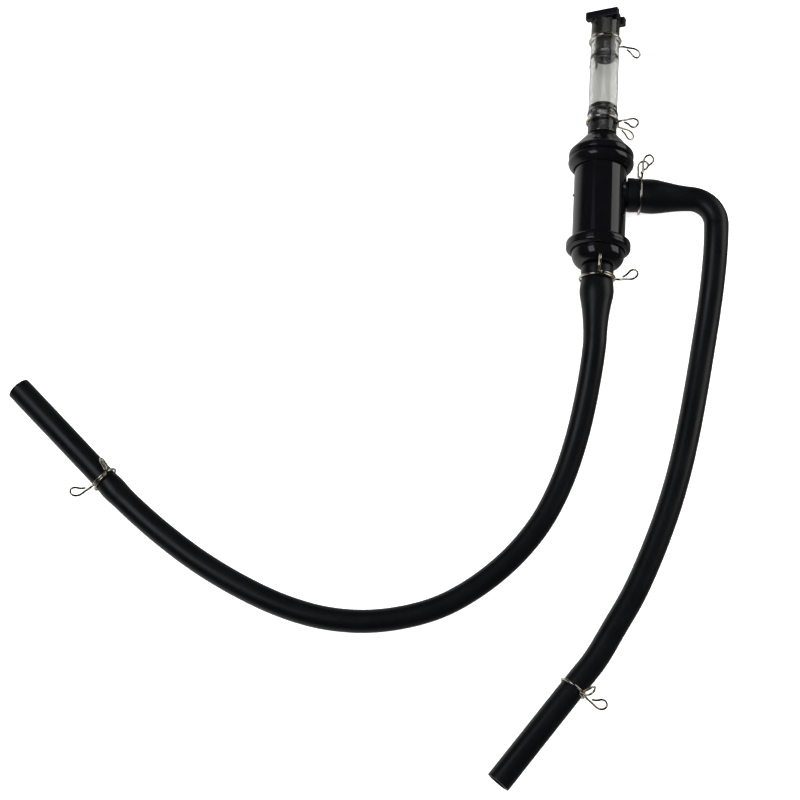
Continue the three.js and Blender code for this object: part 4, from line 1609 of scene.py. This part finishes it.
@dataclass
class Studio:
    """The camera, the pale floor and the soft lights."""

    camera_place: tuple[float, float, float] = (-0.11165, -0.51976, 1.04616)
    camera_target: tuple[float, float, float] = (-0.13498, -0.18064, 0.0)
    lens_mm: float = 74.1
    floor_half: float = 1.5
    floor_glow: float = 0.6

    def build(self) -> None:
        """Sets everything up."""
        self.camera()
        self.floor()
        self.surroundings()
        self.panel("overhead", (-0.13, -0.16, 2.2), (-0.13, -0.16, 0), (3.0, 3.0), 150, "#ffffff", False)
        self.panel("right_softbox", (1.05, 0.45, 0.42), (0, 0.05, 0.2), (1.2, 0.8), 4.2, "#fbfaf7", True)
        self.panel("left_fill", (-0.9, 0.5, 1.3), (-0.1, 0.0, 0), (0.7, 0.5), 0.25, "#bcd0ee", True)
        self.panel("key", (-0.95, -0.25, 1.4), (0, -0.1, 0), (1.2, 0.7), 4.6, "#f2f6ff", True)

    def camera(self) -> None:
        """The camera, level, looking down at the floor."""
        data = bpy.data.cameras.new("camera")
        data.lens, data.sensor_width = self.lens_mm, 36.0
        camera = bpy.data.objects.new("camera", data)
        camera.location = self.camera_place
        look = Vector(self.camera_target) - Vector(self.camera_place)
        camera.rotation_euler = look.to_track_quat("-Z", "Y").to_euler()
        bpy.context.scene.collection.objects.link(camera)
        bpy.context.scene.camera = camera

    def floor(self) -> None:
        """A white light table. The gloss pieces reflect the panels and not the table."""
        half = self.floor_half
        corners = np.array([(-1, -1, 0), (1, -1, 0), (1, 1, 0), (-1, 1, 0)]) * half
        mesh = bpy.data.meshes.new("floor")
        mesh.from_pydata(corners.tolist(), [], [(0, 1, 2, 3)])
        floor = bpy.data.objects.new("floor", mesh)
        bpy.context.scene.collection.objects.link(floor)
        material = bpy.data.materials.new("light_table")
        material.use_nodes = True
        shader = material.node_tree.nodes["Principled BSDF"]
        shader.inputs["Base Color"].default_value = linear("#f4f4f3")
        shader.inputs["Roughness"].default_value = 0.9
        shader.inputs["Emission Color"].default_value = linear("#ffffff")
        shader.inputs["Emission Strength"].default_value = self.floor_glow
        mesh.materials.append(material)
        floor.visible_glossy = False

    def surroundings(self) -> None:
        """White behind the floor. In reflections, a dark room over a table that is brightest on the left."""
        world = bpy.data.worlds.new("studio")
        world.use_nodes = True
        tree = world.node_tree
        tree.nodes.clear()
        direction = add(tree, "ShaderNodeTexCoord").outputs["Generated"]
        parts = add(tree, "ShaderNodeSeparateXYZ", links={0: direction}).outputs
        table = add(
            tree,
            "ShaderNodeMapRange",
            {"From Min": -0.5, "From Max": 0.08, "To Min": 0.7, "To Max": 0.0},
            {"Value": parts[2]},
            interpolation_type="SMOOTHSTEP",
        ).outputs[0]
        left = add(
            tree,
            "ShaderNodeMapRange",
            {"From Min": -0.5, "From Max": 0.4, "To Min": 1.0, "To Max": 0.2},
            {"Value": parts[0]},
        ).outputs[0]
        glow = add(
            tree,
            "ShaderNodeMath",
            {2: 0.012},
            {0: table, 1: left},
            operation="MULTIPLY_ADD",
        ).outputs[0]
        path = add(tree, "ShaderNodeLightPath")
        seen = add(
            tree,
            "ShaderNodeMath",
            links={0: path.outputs["Is Camera Ray"], 1: path.outputs["Is Transmission Ray"]},
            operation="MAXIMUM",
        ).outputs[0]
        strength = add(tree, "ShaderNodeMix", {3: 1.0}, {0: seen, 2: glow}, data_type="FLOAT").outputs[0]
        back = add(tree, "ShaderNodeBackground", {"Color": (1, 1, 1, 1)}, {"Strength": strength}).outputs[0]
        add(tree, "ShaderNodeOutputWorld", links={"Surface": back})
        bpy.context.scene.world = world
        bpy.context.scene.view_settings.view_transform = "Standard"

    def panel(
        self,
        name: str,
        place: tuple[float, float, float],
        target: tuple[float, float, float],
        size: tuple[float, float],
        power: float,
        colour: str,
        reflected: bool,
    ) -> None:
        """One soft light.

        Args:
            name: its name.
            place: where it is, in metres.
            target: what it faces.
            size: its length and height in metres.
            power: in watts.
            colour: its colour.
            reflected: whether gloss reflects it.
        """
        data = bpy.data.lights.new(name, "AREA")
        data.shape, data.size, data.size_y = "RECTANGLE", size[0], size[1]
        data.energy, data.color = power, linear(colour)[:3]
        light = bpy.data.objects.new(name, data)
        light.location = place
        look = Vector(target) - Vector(place)
        light.rotation_euler = look.to_track_quat("-Z", "Y").to_euler()
        light.visible_camera, light.visible_glossy = False, reflected
        bpy.context.scene.collection.objects.link(light)


def main() -> None:
    """Builds the studio and then every sub-assembly."""
    logging.basicConfig(level=logging.INFO, format="%(name)s: %(message)s")
    Studio().build()
    place = Place.of_frame(Paints())
    suction, outlet = SuctionHose(place), OutletHose(place)
    ends = [
        clamp_on_end("suction_end_clamp", suction.route, suction.clamp_from_end, (75, 158), Loops.BACK),
        clamp_on_end("outlet_end_clamp", outlet.route, outlet.clamp_from_end, (118, 195), Loops.FORWARD),
    ]
    suction_clamp, outlet_clamp = (clamp.build(place) for clamp in ends)
    suction.build(suction_clamp)
    outlet.build(outlet_clamp)
    for clamp in clamps_on_canister():
        clamp.build(place)
    Barrel(place).build()
    Caps(place).build()
    InnerWorks(place).build()
    SightTube(place).build()
    Stopper(place).build()


if __name__ == "__main__":
    main()
